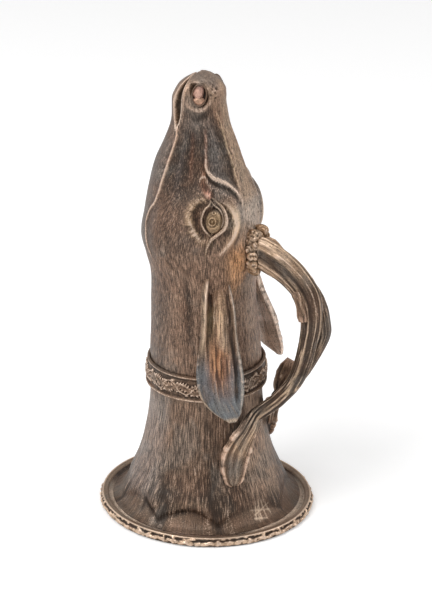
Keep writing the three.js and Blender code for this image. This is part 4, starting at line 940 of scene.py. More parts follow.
def build_rim():
    """The ring that the cup stands on, chased with leaves on its outer face."""
    edge = 1.1
    inner, outer = RIM_LONG - RIM_DEPTH, RIM_LONG
    corners = np.array([
        (inner, 0), (outer - 0.7 * edge, 0), (outer - 0.15 * edge, 0.5 * edge), (outer, 1.4 * edge),
        (outer - 0.1 * edge, RIM_HEIGHT - edge), (outer - 0.8 * edge, RIM_HEIGHT - 0.15 * edge),
        (outer - 1.6 * edge, RIM_HEIGHT), (inner + 0.6 * edge, RIM_HEIGHT - 0.2 * edge),
        (inner, RIM_HEIGHT - 0.8 * edge), (inner, 0),
    ])
    lengths = np.concatenate([[0], np.cumsum(np.linalg.norm(np.diff(corners, axis=0), axis=1))])
    places = np.linspace(0, lengths[-1], 64, endpoint=False)
    radius, level = (np.interp(places, lengths, corners[:, i]) for i in (0, 1))
    t, r = np.meshgrid(around(RIM_COLUMNS, -math.pi), radius)
    z = level[:, None] + 0 * t
    squeeze = RIM_LONG - RIM_WIDE
    middle = inner + RIM_DEPTH / 2
    skin = np.stack([r * np.cos(t), -(r - squeeze) * np.sin(t), z], -1)
    centre = np.stack([middle * np.cos(t), -(middle - squeeze) * np.sin(t), 0 * t + RIM_HEIGHT / 2], -1)
    normals = grid_normals(skin, centre)

    # Long flat leaves with knots between them and dark gaps over them, under one thin bead painted bright as
    # a highlight; the foot of the face is painted dark as shade
    unfold = places[:, None] + 0 * t
    foot, crest = lengths[2] + 0.2, lengths[5] - 0.1
    level_on_face = (unfold - foot) / (crest - foot)
    face = blend(-0.12, 0.06, level_on_face) * blend(1.5, 1.2, level_on_face)
    leaves, leaf_long = 33, 10.6
    place = t * leaves / (2 * math.pi) + 0.9 * noise(wheel(55, t, 0 * t), (13, 13, 13), 51)
    number = np.floor(place).astype(np.int64)
    cell = place - number
    own = hashed(number, number * 0, number * 0, 53)
    far_end = np.minimum(cell, 1 - cell) * leaf_long
    knot = bell_curve(far_end + 1.2 * own * (level_on_face - 0.4), 0.7 + 0.5 * np.abs(own))
    knot = np.maximum(knot, 0.7 * bell_curve((cell - 0.5 - 0.2 * own) * leaf_long, 0.6) * (own > 0.1))
    sway = 0.13 * np.sin(2 * math.pi * cell + 2 * own)
    leaf = bell_curve(level_on_face - 0.28 - sway, 0.3)
    gap = blend(0.06, 0.2, cell - 0.16 * own) * blend(0.94, 0.78, cell + 0.1 * own)
    gap = gap * bell_curve(level_on_face - 0.67 - 0.6 * sway, 0.135)
    height = 0.7 * leaf + 0.32 * knot * blend(1.05, 0.8, level_on_face) - 0.7 * gap - 0.3
    height -= 0.35 * bell_curve(level_on_face - 0.24 - sway, 0.07) * blend(0.2, 0.4, cell) * (own > -0.2)
    height += 0.5 * noise(skin, (1.5, 1.5, 1.0), 52) * blend(1.1, 0.9, level_on_face)
    height = height * face * blend(1.12, 0.92, level_on_face)
    line = bell_curve(level_on_face - 1.06, 0.1)
    height += 0.4 * line
    points = skin + normals * height[..., None] * 0.85
    points[..., 2] = np.maximum(points[..., 2], 0)
    coat = Coat(t.shape, srgb(204, 175, 148))
    coat.paint(0.95 * face * np.maximum(gap, blend(-0.05, -0.32, height)) * (1 - line), srgb(46, 33, 25))
    # Painted shade along the foot of the face, for its underside and contact shadow
    coat.paint(0.85 * blend(0.1, -0.06, level_on_face), srgb(60, 47, 39))
    coat.paint(0.8 * blend(1.15, 1.3, level_on_face), srgb(134, 112, 94))
    # The raised bead along the top is painted bright as a highlight
    coat.paint(0.7 * line, srgb(222, 194, 166))
    strand = wheel(55, t, unfold)
    values = flat_values(t.shape, height + 0.25 * line, coat.tint, 0.15, strand, window=(3, 8), gain=1.6)
    make_piece("rim", [grid_shell(points, values, loop=True)], "worn_metal", "rim_moulding")


# Local frames on the head for the fittings of the face
def head_frame(side, turn, up):
    """A point of the skin with its ways across, up and out."""
    t = side * turn * DEG
    here, beside, above = head_point(t, up), head_point(t + DEG, up), head_point(t, up + 0.5)
    out = unit(np.cross(above - here, beside - here))
    if out @ np.array([here[0], here[1], 0]) < 0:
        out = -out
    rise = unit(above - here - out * ((above - here) @ out))
    return here, np.cross(rise, out), rise, out


def placed(frame_of, a, b, c):
    """Points a across, b up and c out of a frame on the head."""
    here, across, rise, out = frame_of
    return here + a[..., None] * across + b[..., None] * rise + c[..., None] * out


def build_eye(side, name):
    """A dome with a ringed pupil and a tear at its upper corner."""
    shares = np.concatenate([np.linspace(0.04, 1, 46), [1.0, 0.96, 0.5]])
    t, r = np.meshgrid(around(110), shares)
    a, b = EYE_WIDE * r * np.cos(t), EYE_TALL * r * np.sin(t)
    h = EYE_DOME * np.sqrt(np.maximum(0, 1 - r ** 2))
    over = side * a + 1.0
    away = np.hypot(over, (b - 0.4) * (0.78 + 0.16 * blend(0, -2, b)))
    marks = 0.6 * bell_curve(away - 1.7, 0.4) - 0.6 * bell_curve(away - 0.95, 0.42)
    marks += 0.45 * bell_curve(away, 0.5)
    marks -= 0.55 * bell_curve(away - 2.6, 0.5)
    marks += 0.3 * bell_curve(np.hypot(over - 0.6, (b - 1.6) * 0.62) - 3.1, 0.5)
    loop = np.hypot(over - 0.3, b - 4.8)
    marks += 0.5 * bell_curve(loop - 0.8, 0.35) - 0.3 * bell_curve(loop, 0.4)
    marks += 0.18 * noise(np.stack([a, b, 0 * a], -1), (0.9, 1.3, 1), 66)
    h = h + marks * (r < 0.99)
    h[-2:] = -0.8
    points = placed(head_frame(side, EYE_TURN, EYE_UP), a, b, h)
    coat = Coat(t.shape, srgb(158, 132, 102))
    coat.paint(0.8 * blend(0.78, 1, r), srgb(62, 46, 34))
    values = flat_values(t.shape, marks, coat.tint, 0.1, np.stack([a, b, h], -1), window=(2, 2), gain=1.5)
    make_piece(f"{name}_eye", [grid_shell(points, values)], "dark_metal", f"eye_{name}")


LIDS = [
    # Each lid is a rod over the skin: its radius, and points of turn, up, lift and share of the radius
    (0.62, [(59.5, 96.8, 0.4, 0.4), (60.5, 94.4, 0.9, 0.9), (64.2, 92.6, 1.1, 1), (66.4, 89.2, 1.3, 1),
            (66.4, 85.8, 1.3, 1), (63.6, 82.6, 1.2, 1), (60, 80.2, 0.9, 1), (56.2, 78.4, 0.6, 0.5)]),
    (0.55, [(59.5, 96.8, 0.4, 0.4), (56, 94.6, 0.8, 0.9), (50.6, 92.4, 1.3, 1), (47, 88.8, 1.5, 1),
            (46.8, 85.2, 1.5, 1), (50.4, 81.8, 1.3, 0.9), (56, 79.4, 0.7, 0.5)]),
    (0.9, [(58, 98, 0.1, 0.3), (53, 96, 1.0, 0.7), (48.4, 93.4, 1.9, 0.9), (45.2, 89.6, 2.3, 1.1),
           (44.4, 85.8, 2.4, 1.25), (46.2, 82.4, 2.2, 1.2), (51.4, 79.4, 1.8, 1.1), (56.4, 76.8, 1.5, 1),
           (59, 73.4, 1.1, 0.8), (60, 69.5, 0.7, 0.6), (60, 66, 0.1, 0.3)]),
]


def tube(centres, radii, out_way):
    """A round rod along a line, whose rings start beside the outward way."""
    forward = unit(np.gradient(centres, axis=0))
    out = unit(out_way - (out_way * forward).sum(-1, keepdims=True) * forward)
    beside = np.cross(forward, out)
    t = around(24)[None, :, None]
    return centres[:, None] + (beside[:, None] * np.cos(t) + out[:, None] * np.sin(t)) * radii[:, None, None]


def build_lids(side, name):
    shells = []
    for radius, line in LIDS:
        line = smooth_line(line, 12)
        base = head_point(side * line[:, 0] * DEG, line[:, 1])
        out = unit(base * (1, 1, 0) + (3, 0, 4))
        centres = base + out * (line[:, 2] - 0.4)[:, None]
        points = tube(centres, radius * line[:, 3], out)
        lift = ((points - centres[:, None]) * out[:, None]).sum(-1)
        grooves = 0.12 * noise(points, (0.9, 0.9, 1.6), 61)
        points = points + grooves[..., None] * out[:, None]
        values = flat_values(points.shape[:2], None, srgb(132, 110, 90), 0.2, points * (1, 1, 0.3))
        values["proud"] = np.clip(0.4 + 0.5 * lift / radius + 0.3 * grooves, 0, 1)
        shells.append(grid_shell(points, values))
    make_piece(f"{name}_lids", shells, "worn_metal", f"eyelid_{name}")


def build_nostril(side, name):
    """A lined cup; in it a lobe of copper stands beside a gap painted dark as shade, with a crescent under
    it.
    """
    profile = [(0.03, -2.3), (0.3, -2.25), (0.55, -2.2), (0.72, -2.0), (0.79, -1.2), (0.82, 0.0), (0.85, 0.3),
               (0.92, 0.45), (1.0, 0.3), (1.03, -0.4), (1.0, -3.5), (0.5, -3.6)]
    profile = smooth_line(profile, 6)
    t, r = np.meshgrid(around(130), profile[:, 0])
    h = profile[:, 1:] + 0 * t
    a, b = NOSTRIL_WIDE * r * np.cos(t), NOSTRIL_TALL * r * np.sin(t)
    floor = blend(0.9, 0.72, r) * (np.arange(len(profile)) < 34)[:, None]
    over = side * a
    main = np.sqrt(np.clip(1 - ((over + 0.8) / 2.9) ** 2 - ((b - 1.3) / 4.1) ** 2, 0, 1))
    low = np.sqrt(np.clip(1 - ((over - 0.1) / 3.1) ** 2 - ((b + 3.0) / 2.4) ** 2, 0, 1))
    lobe = np.maximum(2.4 * main, 1.9 * low)
    rough = 0.2 * noise(np.stack([a, b, h], -1), (1.3, 1.3, 1.3), 71)
    h = h + floor * (lobe + rough)
    points = placed(head_frame(side, NOSTRIL_TURN, NOSTRIL_UP), a, b, h)
    # The dark base is painted shade in the cup, beside the copper lobe
    coat = Coat(t.shape, srgb(38, 27, 21))
    coat.paint(floor * blend(0.3, 1.1, lobe), COPPER)
    coat.paint(0.6 * floor * (1.9 * low > 2.4 * main) * blend(0.2, 0.8, low), srgb(186, 146, 112))
    coat.paint(0.9 * blend(0.8, 0.88, r), srgb(112, 88, 70))
    values = flat_values(t.shape, floor * (0.6 * lobe + rough), coat.tint, 0.0, gain=1.0)
    make_piece(f"{name}_nostril", [grid_shell(points, values)], "nostril_copper", f"nostril_{name}")


# Antlers
BURR_THICK = 4.8
PEDICLE_REACH = 27.3
BEAM_START = PEDICLE_REACH + BURR_THICK + 2 * GAP
HANDLE_REACH = 29.2
# Rows round the bell are height, turn and stand off it, then half width and thickness
WRIST = (62, 21, 7.5)
# Rows of an arch: share of the way down, share of the handle's reach, spread and half width
LEFT_ARCH = np.array([
    (0.05, 0.42, 4.2, 8.4), (0.11, 0.69, 4.5, 7.8), (0.2, 0.91, 4.6, 7.0), (0.32, 0.99, 4.6, 5.8),
    (0.43, 0.97, 4.7, 5), (0.63, 0.84, 5.2, 4.6), (0.76, 0.68, 6.9, 4), (0.87, 0.42, 9.8, 3.7),
    (0.95, 0.16, 12.2, 3.6),
])
RIGHT_ARCH = np.array([
    (0.1, 0.32, 4.2, 6.8), (0.16, 0.56, 4.5, 6.8), (0.24, 0.82, 4.6, 6.2), (0.32, 0.97, 4.6, 5.4),
    (0.39, 1.02, 4.7, 5), (0.46, 1.03, 4.9, 5), (0.55, 0.93, 5.3, 4.8), (0.63, 0.81, 5.8, 4.6),
    (0.76, 0.6, 8.2, 4), (0.87, 0.37, 11.2, 3.7), (0.95, 0.15, 13, 3.6),
])
PALM = np.array([
    (53, 28, 3.6, 5.8, 3.6), (45, 35.5, 2.4, 7.2, 3.1), (38, 39, 1.5, 7, 2.8), (31, 40, 1, 5.6, 2.6),
    (27.6, 40.5, 0.9, 4, 2.3), (26, 40.5, 0.8, 1.6, 2),
])
RIGHT_PALM_SWING = 24
RIGHT_PALM_HEIGHT = 0.8
LOW_TINE = np.array([(61, 15, 5.5, 2.4, 3.2), (55, 14, 3.4, 2.6, 2.8), (48, 17, 1.4, 1.2, 2)])
# Rows of the leaf on the right antler: share of the way down, lift off the beam and half width
LEAF = np.array([(1, 0.6, 2.6), (0.95, 3, 4.4), (0.9, 5, 5.4), (0.84, 6.6, 5.4), (0.79, 8.2, 3.2)])
LEAF_LEAN = 38.5


def around_bell(side, z, turn, stand, thick):
    """A point at a stand-off from the bell, in the middle of what is thick there."""
    turn = side * turn * DEG
    radius = bell_radius(z) + GAP + stand + thick / 2
    return np.array([radius * math.cos(turn), -radius * math.sin(turn), z])


def arch_point(side, drop, reach, spread):
    """A point of the handle: a share of the way down to the wrist and of its reach, and its spread."""
    wrist = around_bell(side, *WRIST, 0)
    root_z = BELL_HEIGHT + ROOT_UP
    x = BEAM_START + (wrist[0] - BEAM_START) * drop + HANDLE_REACH * reach
    return np.array([x, -side * spread, root_z + (wrist[2] - root_z) * drop])


def swept(stations, rows, columns, shape):
    """A long solid through stations of (centre, wide, thin, thin way), with relief from shape(s, angle)."""
    centres = np.array([s[0] for s in stations])
    sizes = np.array([(s[1], s[2]) for s in stations])
    ways = np.array([s[3] for s in stations])
    keys = np.concatenate([[0], np.cumsum(np.linalg.norm(np.diff(centres, axis=0), axis=1))])
    places = np.linspace(0, keys[-1], rows)
    line = along(keys, centres, places)
    size = np.maximum(along(keys, sizes, places), 0.3)
    way = along(keys, ways, places)
    forward = unit(np.gradient(line, axis=0))
    thin = unit(way - (way * forward).sum(-1, keepdims=True) * forward)
    wide = np.cross(forward, thin)
    angle, at = np.meshgrid(around(columns), np.interp(places, keys, np.arange(len(stations))))
    c, s = np.cos(angle)[..., None], np.sin(angle)[..., None]
    wide, thin = wide[:, None], thin[:, None]
    half_wide, half_thin = size[:, None, :1], size[:, None, 1:]
    points = line[:, None] + wide * half_wide * c + thin * half_thin * s
    outward = unit(wide * half_thin * c + thin * half_wide * s)
    length = np.broadcast_to(places[:, None], angle.shape)
    height, bend, tint, fur = shape(at, angle, length, points)
    points = points + outward * height[..., None] + thin * bend[..., None]
    strand = wheel(7, angle, 0.09 * length + 60)
    values = flat_values(angle.shape, height + 0.6 * bend, tint, fur, strand, window=(4, 3), gain=1.5)
    return grid_shell(points, values)


def ribs_along(radius, angle, rise, pitch, seed):
    """Thin ridges where noise round and along a beam crosses zero."""
    return np.clip(1 - 2.6 * np.abs(noise(wheel(radius, angle, rise), pitch, seed)), 0, 1)


def beam_shape(side, bell_end):
    """Beam with fine uneven ribs that flattens into a hollowed palm with a rolled and broken edge."""
    def shape(at, angle, length, points):
        c, s = np.cos(angle), np.sin(angle)
        seed = 81 + side
        wander = noise(wheel(5.6, angle, length / 24), (1.55, 1.55, 1), seed)
        fine = np.clip(1 - 2.6 * np.abs(wander), 0, 1)
        finer = ribs_along(9, angle, length / 14, (1.4, 1.4, 1), seed + 5)
        broad = noise(wheel(3.4, angle, length / 34), (1.9, 1.9, 1), seed + 9)
        lively = 1 if side > 0 else 0.6
        height = lively * (0.5 * fine ** 1.5 + 0.22 * finer + 0.6 * broad) - 0.3
        palm = blend(bell_end - 0.5, bell_end + 1, at)
        low = blend(bell_end + 1.2, bell_end + 2.6, at)
        edge = np.abs(c)
        height = height * blend(0, 0.6, at) * (1 - 0.4 * palm) * (1 - 0.6 * low)
        where = np.stack([length, 3 * np.sign(c), 0 * length], -1)
        broken = noise(where, (3.1, 1, 1), 85) + 0.5 * noise(where, (1.3, 1, 1), 87)
        rolled = palm * bell_curve(edge - 0.93, 0.12)
        height += rolled * (0.95 + 0.55 * broken)
        dish = palm * np.where(s * side > 0, blend(0.95, 0.3, edge), 0)
        bend = -(0.8 + 0.5 * low) * dish * side

        coat = Coat(at.shape, srgb(92, 72, 57))
        paint = coat.paint
        paint(0.9 * blend(4.5, 1.5, at) * blend(-0.6, 0.1, broad), srgb(204, 170, 138))
        paint(0.7 * palm, srgb(148, 114, 84))
        paint(0.75 * blend(0.05, -0.45, broad) * blend(0, 3, at) * (1 - palm), srgb(58, 43, 33))
        paint(0.6 * blend(0.05, -0.45, broad) * blend(3, 0, at), srgb(96, 74, 54))
        paint(0.7 * blend(2.5, 4.5, at) * (1 - palm), srgb(54, 42, 33))
        paint(np.clip(0.25 + 0.4 * noise(points, (16, 16, 16), 86), 0, 0.6) * (1 - palm), DARK)
        paint(lively * 0.85 * fine ** 4 * (1 - low), srgb(214, 184, 154))
        paint(0.75 * low * dish, srgb(120, 112, 104) if side > 0 else srgb(172, 148, 126))
        paint(0.6 * palm * (1 - 0.5 * low) * finer ** 2, srgb(196, 164, 134))
        paint(0.5 * palm * blend(-0.1, -0.5, wander), srgb(70, 52, 40))
        paint(0.75 * palm * bell_curve(edge - 0.74, 0.1) * dish, srgb(62, 46, 36))
        paint(0.9 * rolled * blend(-1.3, 0.1, broken), srgb(216, 180, 156))
        return height, bend, coat.tint, 0.5
    return shape


def tine_shape(seed):
    """A small tine, stump or leaf with thin ribs and a worn end."""
    def shape(at, angle, length, points):
        wander = noise(wheel(5, angle, length / 3), (2.2, 2.2, 2), seed)
        fine = ribs_along(4, angle, length / 9, (1.2, 1.2, 1), seed + 7)
        coat = Coat(at.shape, TAUPE)
        coat.paint(0.6 * fine ** 2, srgb(190, 160, 132))
        coat.paint(0.7 * blend(3, 3.7, at), ROSE)
        return (0.35 * fine + 0.45 * wander - 0.1) * blend(0, 0.4, at), 0 * at, coat.tint, 0.5
    return shape


def bell_station(side, z, turn, stand, half, thick):
    """Station of an antler part that lies round the bell."""
    centre = around_bell(side, z, turn, stand, thick)
    return centre, half, thick / 2, unit(centre * (1, 1, 0))


def build_antler(side, name):
    arch = LEFT_ARCH if side > 0 else RIGHT_ARCH
    root_half = 8.6 if side > 0 else 6.4
    sideways = np.array([0.0, side, 0.0])
    root = np.array([BEAM_START, -side * ROOT_SPREAD, BELL_HEIGHT + ROOT_UP])
    stations = [(root + (x, 0, 0), root_half, 3.3, -sideways) for x in (0, 1.6)]
    for drop, reach, spread, half in arch:
        stations.append((arch_point(side, drop, reach, spread), half, min(4.1, spread - GAP), -sideways))
    palm = []
    for i, (z, turn, *sizes) in enumerate(PALM):
        if side < 0:
            z = PALM[0, 0] - RIGHT_PALM_HEIGHT * (PALM[0, 0] - z)
            turn += RIGHT_PALM_SWING * (i + 1) / len(PALM)
        palm.append(bell_station(side, z, turn, *sizes))
    wrist_way = unit(palm[0][3] - sideways * math.tan(31 * DEG))
    stations += [(around_bell(side, *WRIST, 0), 3.6, 3.2, wrist_way), *palm]
    tine = [bell_station(side, *row) for row in LOW_TINE]
    beam = swept(stations, 300, 96, beam_shape(side, len(arch) + 2.5))
    shells = [beam, swept(tine, 40, 40, tine_shape(91))]

    if side > 0:
        stump = []
        for i, drop in enumerate(np.linspace(0.17, 0.34, 5)):
            reach, spread, _ = along(arch[:, 0], arch[:, 1:], drop)
            centre = arch_point(side, drop, reach, spread) - (3.2 - i / 4, side * (4.2 + i / 4), 0)
            stump.append((centre, 2.2 + 0.4 * (i == 3), 1.9, sideways))
        shells.append(swept(stump, 50, 40, tine_shape(92)))
    else:
        upward = np.array([-math.sin(LEAF_LEAN * DEG), 0, math.cos(LEAF_LEAN * DEG)])
        leaf = []
        for drop, lift, half in LEAF:
            reach, spread, _ = along(arch[:, 0], arch[:, 1:], drop)
            leaf.append((arch_point(side, drop, reach, spread) + upward * lift, half, 1.2, sideways))
        shells.append(swept(leaf, 60, 60, tine_shape(93)))
    make_piece(f"{name}_antler", shells, "patinated_metal", f"antler_{name}")


def build_burr(side, name):
    """A ring of curled knobs round the root of an antler."""
    turn = around(260)
    t, s = np.meshgrid(turn, around(48))
    middle = PEDICLE_REACH + GAP + BURR_THICK / 2
    inner_wide, inner_tall = 2.2, 5.7
    outer_wide, outer_tall = 4.0, 11.8
    share = 0.5 + 0.5 * np.cos(s)
    share = blend(0, 1, share) ** 0.7
    x = 0.62 * BURR_THICK * np.sin(s) * (1 - 0.15 * share) - 0.5
    wide = inner_wide + (outer_wide - inner_wide) * share
    tall = inner_tall + (outer_tall - inner_tall) * share
    root_y, root_z = -side * ROOT_SPREAD, BELL_HEIGHT + ROOT_UP
    skin = np.stack([middle + x, root_y + wide * np.cos(t), root_z + tall * np.sin(t)], -1)
    ring = np.stack([0 * t + middle, root_y + 0.75 * wide * np.cos(t), root_z + 0.85 * tall * np.sin(t)], -1)
    normals = unit(skin - ring)

    # Curled knobs of uneven size over the whole burr
    rng = np.random.default_rng(7 + side)
    height = np.zeros_like(t)
    arc = np.cumsum(np.hypot(3.5 * np.sin(turn), 12.3 * np.cos(turn))) * (turn[1] - turn[0])
    knobs = 10
    for k in range(knobs):
        angle = 2 * math.pi * (k + rng.uniform(-0.25, 0.25)) / knobs
        for where in (-0.95, 0.05, 1.05):
            size = rng.uniform(2.3, 3.3)
            place = np.interp((angle + rng.uniform(-0.2, 0.2)) % (2 * math.pi), turn, arc)
            gap = np.interp(t, turn, arc) - place
            gap = (gap + arc[-1] / 2) % arc[-1] - arc[-1] / 2
            rise = ((s - where - rng.uniform(-0.2, 0.2) + math.pi) % (2 * math.pi) - math.pi) * 2.2
            away = np.hypot(gap, rise) / size
            curl = np.cos(np.arctan2(rise, gap) * rng.choice([-1, 1]) + 5.5 * away + rng.uniform(0, 6))
            knob = 1.3 * np.sqrt(np.clip(1 - away ** 2, 0, 1)) * (1 - 0.5 * blend(0.0, 0.8, curl))
            height = np.maximum(height, knob)
    height = (height - 0.4 + 0.15 * noise(skin, (1.1, 1.1, 1.1), 95)) * blend(0.1, 0.45, share)
    points = skin + normals * height[..., None]
    values = flat_values(t.shape, height, srgb(170, 138, 108), 0.15, skin * 0.8, window=(2, 3), gain=1.7)
    make_piece(f"{name}_burr", [grid_shell(points, values, loop=True)], "worn_metal", f"burr_{name}")


# Ears. Rows: up, turn, stand off the head, half width, hollow, thickness and twist
LEFT_EAR = np.array([
    (57, 51, -5.4, 5, 0.2, 3.4, 0), (53, 51, -3.2, 6.8, 0.4, 3.6, 0), (48, 51, -1.0, 8.0, 0.8, 3.4, 0),
    (42, 51, 0.9, 8.6, 1.4, 3.2, 0), (36, 51, 2.1, 9.0, 2.2, 2.9, 0), (25, 51.5, 2.9, 9.8, 3.2, 2.5, 0),
    (15, 52, 3.9, 11.4, 3.8, 2.3, 0), (6, 51.5, 4.8, 12.2, 3.8, 2.2, 0), (-4, 50, 5, 11.2, 3.4, 2.2, 0),
    (-11.5, 46.5, 5.2, 8.4, 2.4, 2.2, 0), (-17, 42.5, 5.2, 5.2, 1.2, 2.2, 0),
    (-20.8, 40, 5.2, 2.0, 0.4, 1.8, 0),
])
RIGHT_EAR = np.array([
    (57, 56, -1.4, 4.6, 0.4, 3.6, 0), (43, 60, 0.6, 5, 0.6, 3.4, 2), (35, 57, 1.6, 5.8, 1, 3, 4),
    (27, 56, 3, 6.8, 1.5, 2.6, 10), (19, 57, 5.2, 7.2, 1.5, 2.4, 18), (11, 60.5, 7.4, 7.4, 1.5, 2.3, 21),
    (3, 61, 9.2, 7.5, 1.3, 2.2, 23), (-2, 59, 10.2, 6.2, 1, 2.2, 25), (-4.8, 51, 11.4, 1.8, 0.4, 1.8, 30),
])


def build_ear(side, name):
    """A hollowed blade on its tenon, laid back over the neck and the bell."""
    table = LEFT_EAR if side > 0 else RIGHT_EAR
    ups = np.linspace(table[0, 0], table[-1, 0], 230)
    rows = along(-table[:, 0], table[:, 1:], -ups)
    turn, stand, half, hollow, thick, twist = rows.T
    turn = side * turn * DEG
    head = head_point(turn, np.maximum(ups, 0))
    on_head = blend(-5, 5, ups)
    on_bell = bell_radius(BELL_HEIGHT + np.minimum(ups, 0))
    skin = on_head * np.hypot(head[:, 0], head[:, 1]) + (1 - on_head) * on_bell
    radius = skin + stand + thick / 2
    centre = wheel(radius, -turn, BELL_HEIGHT + ups)
    facing = turn + side * twist * DEG
    out = wheel(1, -facing, 0)
    beside = np.stack([np.sin(facing), np.cos(facing), 0 * facing], -1)
    angle = around(150)
    v, u = np.meshgrid(np.cos(angle), ups)
    front = np.broadcast_to(np.sin(angle) >= 0, v.shape)
    edge = np.broadcast_to(np.abs(np.sin(angle)), v.shape) ** 0.6
    base = hollow[:, None] * v ** 2 + np.where(front, 1, -1) * thick[:, None] * edge / 2

    # A round post along the cheek side, a channel, a hairy middle, and a rolled edge on the other side
    v_near = v * side

    def band(place, width):
        return bell_curve(v_near - place, width)

    tip = blend(table[-1, 0], table[-1, 0] + 8, u)
    top_half = blend(14, 30, u)
    rolled = 0.8 * band(0.92, 0.1) * tip
    rolled += 0.5 * band(-0.95, 0.08) * tip * (1 - top_half)
    ribs = 1.5 * band(-0.8, 0.15) * top_half
    ribs += 2.4 * band(-0.72, 0.16) * blend(38, 48, u)
    ribs -= 1.1 * band(-0.42, 0.2) * top_half
    ribs -= 2.6 * blend(-0.6, -0.4, v_near) * blend(0.75, 0.5, v_near) * blend(34, 54, u)
    ribs -= 2.4 * blend(0.45, 0.75, v_near) * blend(40, 50, u)
    ribs += 0.6 * band(0.2, 0.25) * blend(-4, 16, u) * blend(52, 40, u)
    ribs -= 0.9 * band(0.7, 0.1) * blend(-14, -2, u)
    ribs -= 0.5 * band(-0.3, 0.12) * bell_curve(u - 12, 10)
    flat = v * half[:, None]
    long_hair = noise(np.stack([flat, 0 * v, u / 9], -1), (1.1, 1, 1.2), 101)
    finer_hair = noise(np.stack([flat, 0 * v, u / 5], -1), (0.6, 1, 1.2), 102)
    veins = (0.3 * long_hair + 0.2 * finer_hair) * (1 - 0.6 * blend(6, -4, u)) * (0.4 + 0.6 * front)
    serrated = 0.5 * noise(np.stack([0 * u, 0 * u, u], -1), (1, 1, 1.8), 103)
    serrated = serrated * bell_curve(np.abs(v) - 1, 0.15) * (1 - top_half)
    height = (rolled + ribs * front + veins + serrated) * blend(57, 53, u)
    seen = np.where(front, 1, -1) * height
    points = centre[:, None] + beside[:, None] * flat[..., None] + out[:, None] * (base + seen)[..., None]

    # The right ear's base colour is pale: painted light that lifts it out of the neck's shadow
    coat = Coat(v.shape, srgb(110, 113, 116) if side > 0 else srgb(190, 168, 152))
    paint = coat.paint

    if side > 0:
        hair_light = blend(-0.1, 0.6, long_hair + finer_hair)
        hair_dark = blend(0.1, -0.6, long_hair + finer_hair)
        paint(0.9 * blend(8, 22, u), srgb(130, 104, 81))
        tuft = bell_curve(u - 12, 13) * band(0.02, 0.42) * front
        paint(1.1 * tuft, srgb(152, 100, 66))
        paint(1.0 * tuft * hair_light, srgb(212, 158, 116))
        paint(1.1 * tuft * hair_dark, srgb(54, 36, 28))
        middle = band(0.2, 0.28) * top_half
        paint(0.9 * middle * (0.35 + hair_light), srgb(214, 178, 144))
        paint(0.9 * band(-0.42, 0.2) * blend(20, 34, u) * blend(46, 38, u), srgb(120, 98, 66))
        paint(0.9 * band(-0.42, 0.22) * blend(38, 46, u), srgb(84, 50, 36))
        paint(0.85 * band(0.62, 0.16) * top_half, srgb(84, 62, 48))
        paint(0.85 * band(-0.8, 0.13) * top_half, srgb(206, 180, 152))
        paint(0.9 * band(0.7, 0.09) * blend(-14, -2, u) * blend(34, 22, u), srgb(40, 34, 32))
        paint(0.7 * band(0.93, 0.07) * tip, srgb(168, 158, 146))
        paint(0.5 * blend(0.2, 0.9, long_hair) * blend(10, 0, u), srgb(128, 134, 136))
        paint(0.5 * blend(0.2, 0.8, finer_hair) * blend(8, -4, u), srgb(142, 120, 98))
        # Painted highlights along the lower edge and on the tip
        paint(0.8 * band(-0.97, 0.06) * blend(6, -2, u), srgb(196, 170, 142))
        paint(0.8 * bell_curve(u - table[-1, 0] - 1.2, 1.4), srgb(212, 186, 158))
        paint(0.6 * band(0.15, 0.42) * blend(36, 46, u), srgb(112, 84, 62))
        paint(0.8 * band(0.15, 0.5) * blend(43, 49, u), srgb(102, 76, 57))
        paint(0.5 * blend(50, 56, u), TAUPE)
    # The left ear's back is taupe; the right ear's back, the side the camera sees, is painted near white as
    # painted light in the neck's shadow
    paint(0.85 * (1 - front), TAUPE if side > 0 else srgb(240, 216, 198))
    strand = np.stack([flat * 1.2, 0 * v + 5, 0.09 * u + 90], -1)
    values = flat_values(v.shape, height, coat.tint, 0.35 + 0.5 * top_half, strand, window=(4, 3), gain=1.1)
    make_piece(f"{name}_ear", [grid_shell(points, values)], "dark_metal", f"ear_{name}")


build_head()
build_bell()
build_collar()
build_rim()
for side, name in ((1, "left"), (-1, "right")):
    build_eye(side, name)
    build_lids(side, name)
    build_nostril(side, name)
    build_antler(side, name)
    build_burr(side, name)
    build_ear(side, name)


# Camera, floor and light
CAMERA_AZIMUTH, CAMERA_RISE = 28 * DEG, 23.2 * DEG
CAMERA_DISTANCE = 1.3
FRAME_LONG = 590
FOCAL_PIXELS = 2518
SENSOR = 36
AIM = Vector((SHIFT_X / 1000, 0, 0.118))
AIM_LEFT_OF_CENTRE = 9.5

# The way from the camera level to the cup, the way to its right, and the way back to the camera
level = Vector((math.sin(CAMERA_AZIMUTH), -math.cos(CAMERA_AZIMUTH), 0))
right = Vector((math.cos(CAMERA_AZIMUTH), math.sin(CAMERA_AZIMUTH), 0))
up = Vector((0, 0, 1))
back = level * math.cos(CAMERA_RISE) + up * math.sin(CAMERA_RISE)


def add_object(name, data, location=(0, 0, 0)):
    thing = bpy.data.objects.new(name, data)
    thing.location = location
    bpy.context.scene.collection.objects.link(thing)
    return thing


camera = add_object("camera", bpy.data.cameras.new("camera"), AIM + back * CAMERA_DISTANCE)
camera.rotation_euler = back.to_track_quat("Z", "Y").to_euler()
camera.data.sensor_width = SENSOR
camera.data.lens = FOCAL_PIXELS / FRAME_LONG * SENSOR
camera.data.shift_x = AIM_LEFT_OF_CENTRE / FRAME_LONG
bpy.context.scene.camera = camera


def soft_lamp(name, way, distance, size, power):
    lamp = bpy.data.lights.new(name, "AREA")
    lamp.shape = "SQUARE"
    lamp.size = size
    lamp.energy = power
    holder = add_object(name, lamp, AIM + way.normalized() * distance)
    holder.rotation_euler = way.to_track_quat("Z", "Y").to_euler()


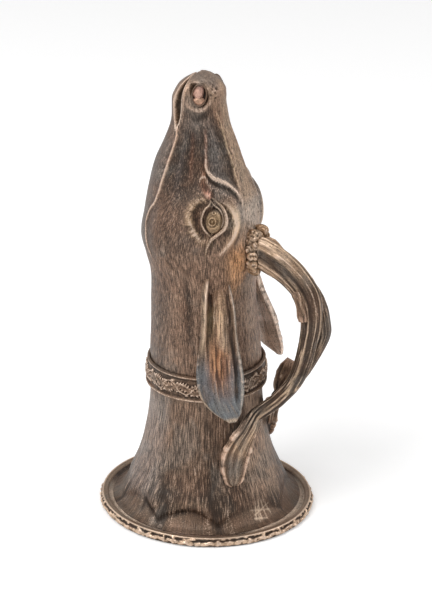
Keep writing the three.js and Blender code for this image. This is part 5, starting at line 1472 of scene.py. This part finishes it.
soft_lamp("key", level * 0.75 - right * 0.8 + up * 1.15, 1.5, 0.9, 13)
soft_lamp("side", -level * 0.3 - right * 1.0 + up * 0.35, 1.4, 0.8, 3.5)
soft_lamp("fill", level * 0.2 + right * 1.0 + up * 0.7, 1.7, 1.0, 10)

# The backdrop is white where the camera sees it, and lights the cup at half of that
WORLD_LIGHT = 0.5
world = bpy.data.worlds.new("studio")
bpy.context.scene.world = world
world.use_nodes = True
tree = world.node_tree
backdrop = tree.nodes["Background"]
backdrop.inputs["Color"].default_value = (1, 1, 1, 1)
path = add_node(tree, "LightPath", {}).outputs
seen = add_node(tree, "Math", {0: path["Is Camera Ray"], 1: path["Is Transmission Ray"]}, operation="MAXIMUM")
strength = add_node(tree, "MapRange", {"Value": seen.outputs[0], "To Min": WORLD_LIGHT, "To Max": 1.0})
plug(tree, backdrop.inputs["Strength"], strength.outputs["Result"])

# The floor keeps the cup's shadow, and is paper that the camera sees a little brighter
FLOOR_REACH = 6.0
FLOOR_DROP = 0.0002
PAPER = (0.94, 0.94, 0.94, 1)
PAPER_GLOW = 0.16
floor_mesh = bpy.data.meshes.new("floor")
corners = [(-1, -1), (1, -1), (1, 1), (-1, 1)]
floor_mesh.from_pydata([(x * FLOOR_REACH, y * FLOOR_REACH, 0) for x, y in corners], [], [(0, 1, 2, 3)])
floor = add_object("floor", floor_mesh, (0, 0, -FLOOR_DROP))
paper = bpy.data.materials.new("paper")
paper.use_nodes = True
tree = paper.node_tree
shader = tree.nodes["Principled BSDF"]
shader.inputs["Roughness"].default_value = 0.9
shader.inputs["Emission Color"].default_value = (1, 1, 1, 1)
ray = add_node(tree, "LightPath", {}).outputs["Is Camera Ray"]
white = add_node(tree, "Mix", {0: ray, MIX_A: PAPER, MIX_B: (1, 1, 1, 1)}, data_type="RGBA")
glow = add_node(tree, "Math", {0: ray, 1: PAPER_GLOW}, operation="MULTIPLY")
plug(tree, shader.inputs["Base Color"], white.outputs[MIX_RESULT])
plug(tree, shader.inputs["Emission Strength"], glow.outputs[0])
floor_mesh.materials.append(paper)

bpy.context.scene.view_settings.view_transform = "Standard"
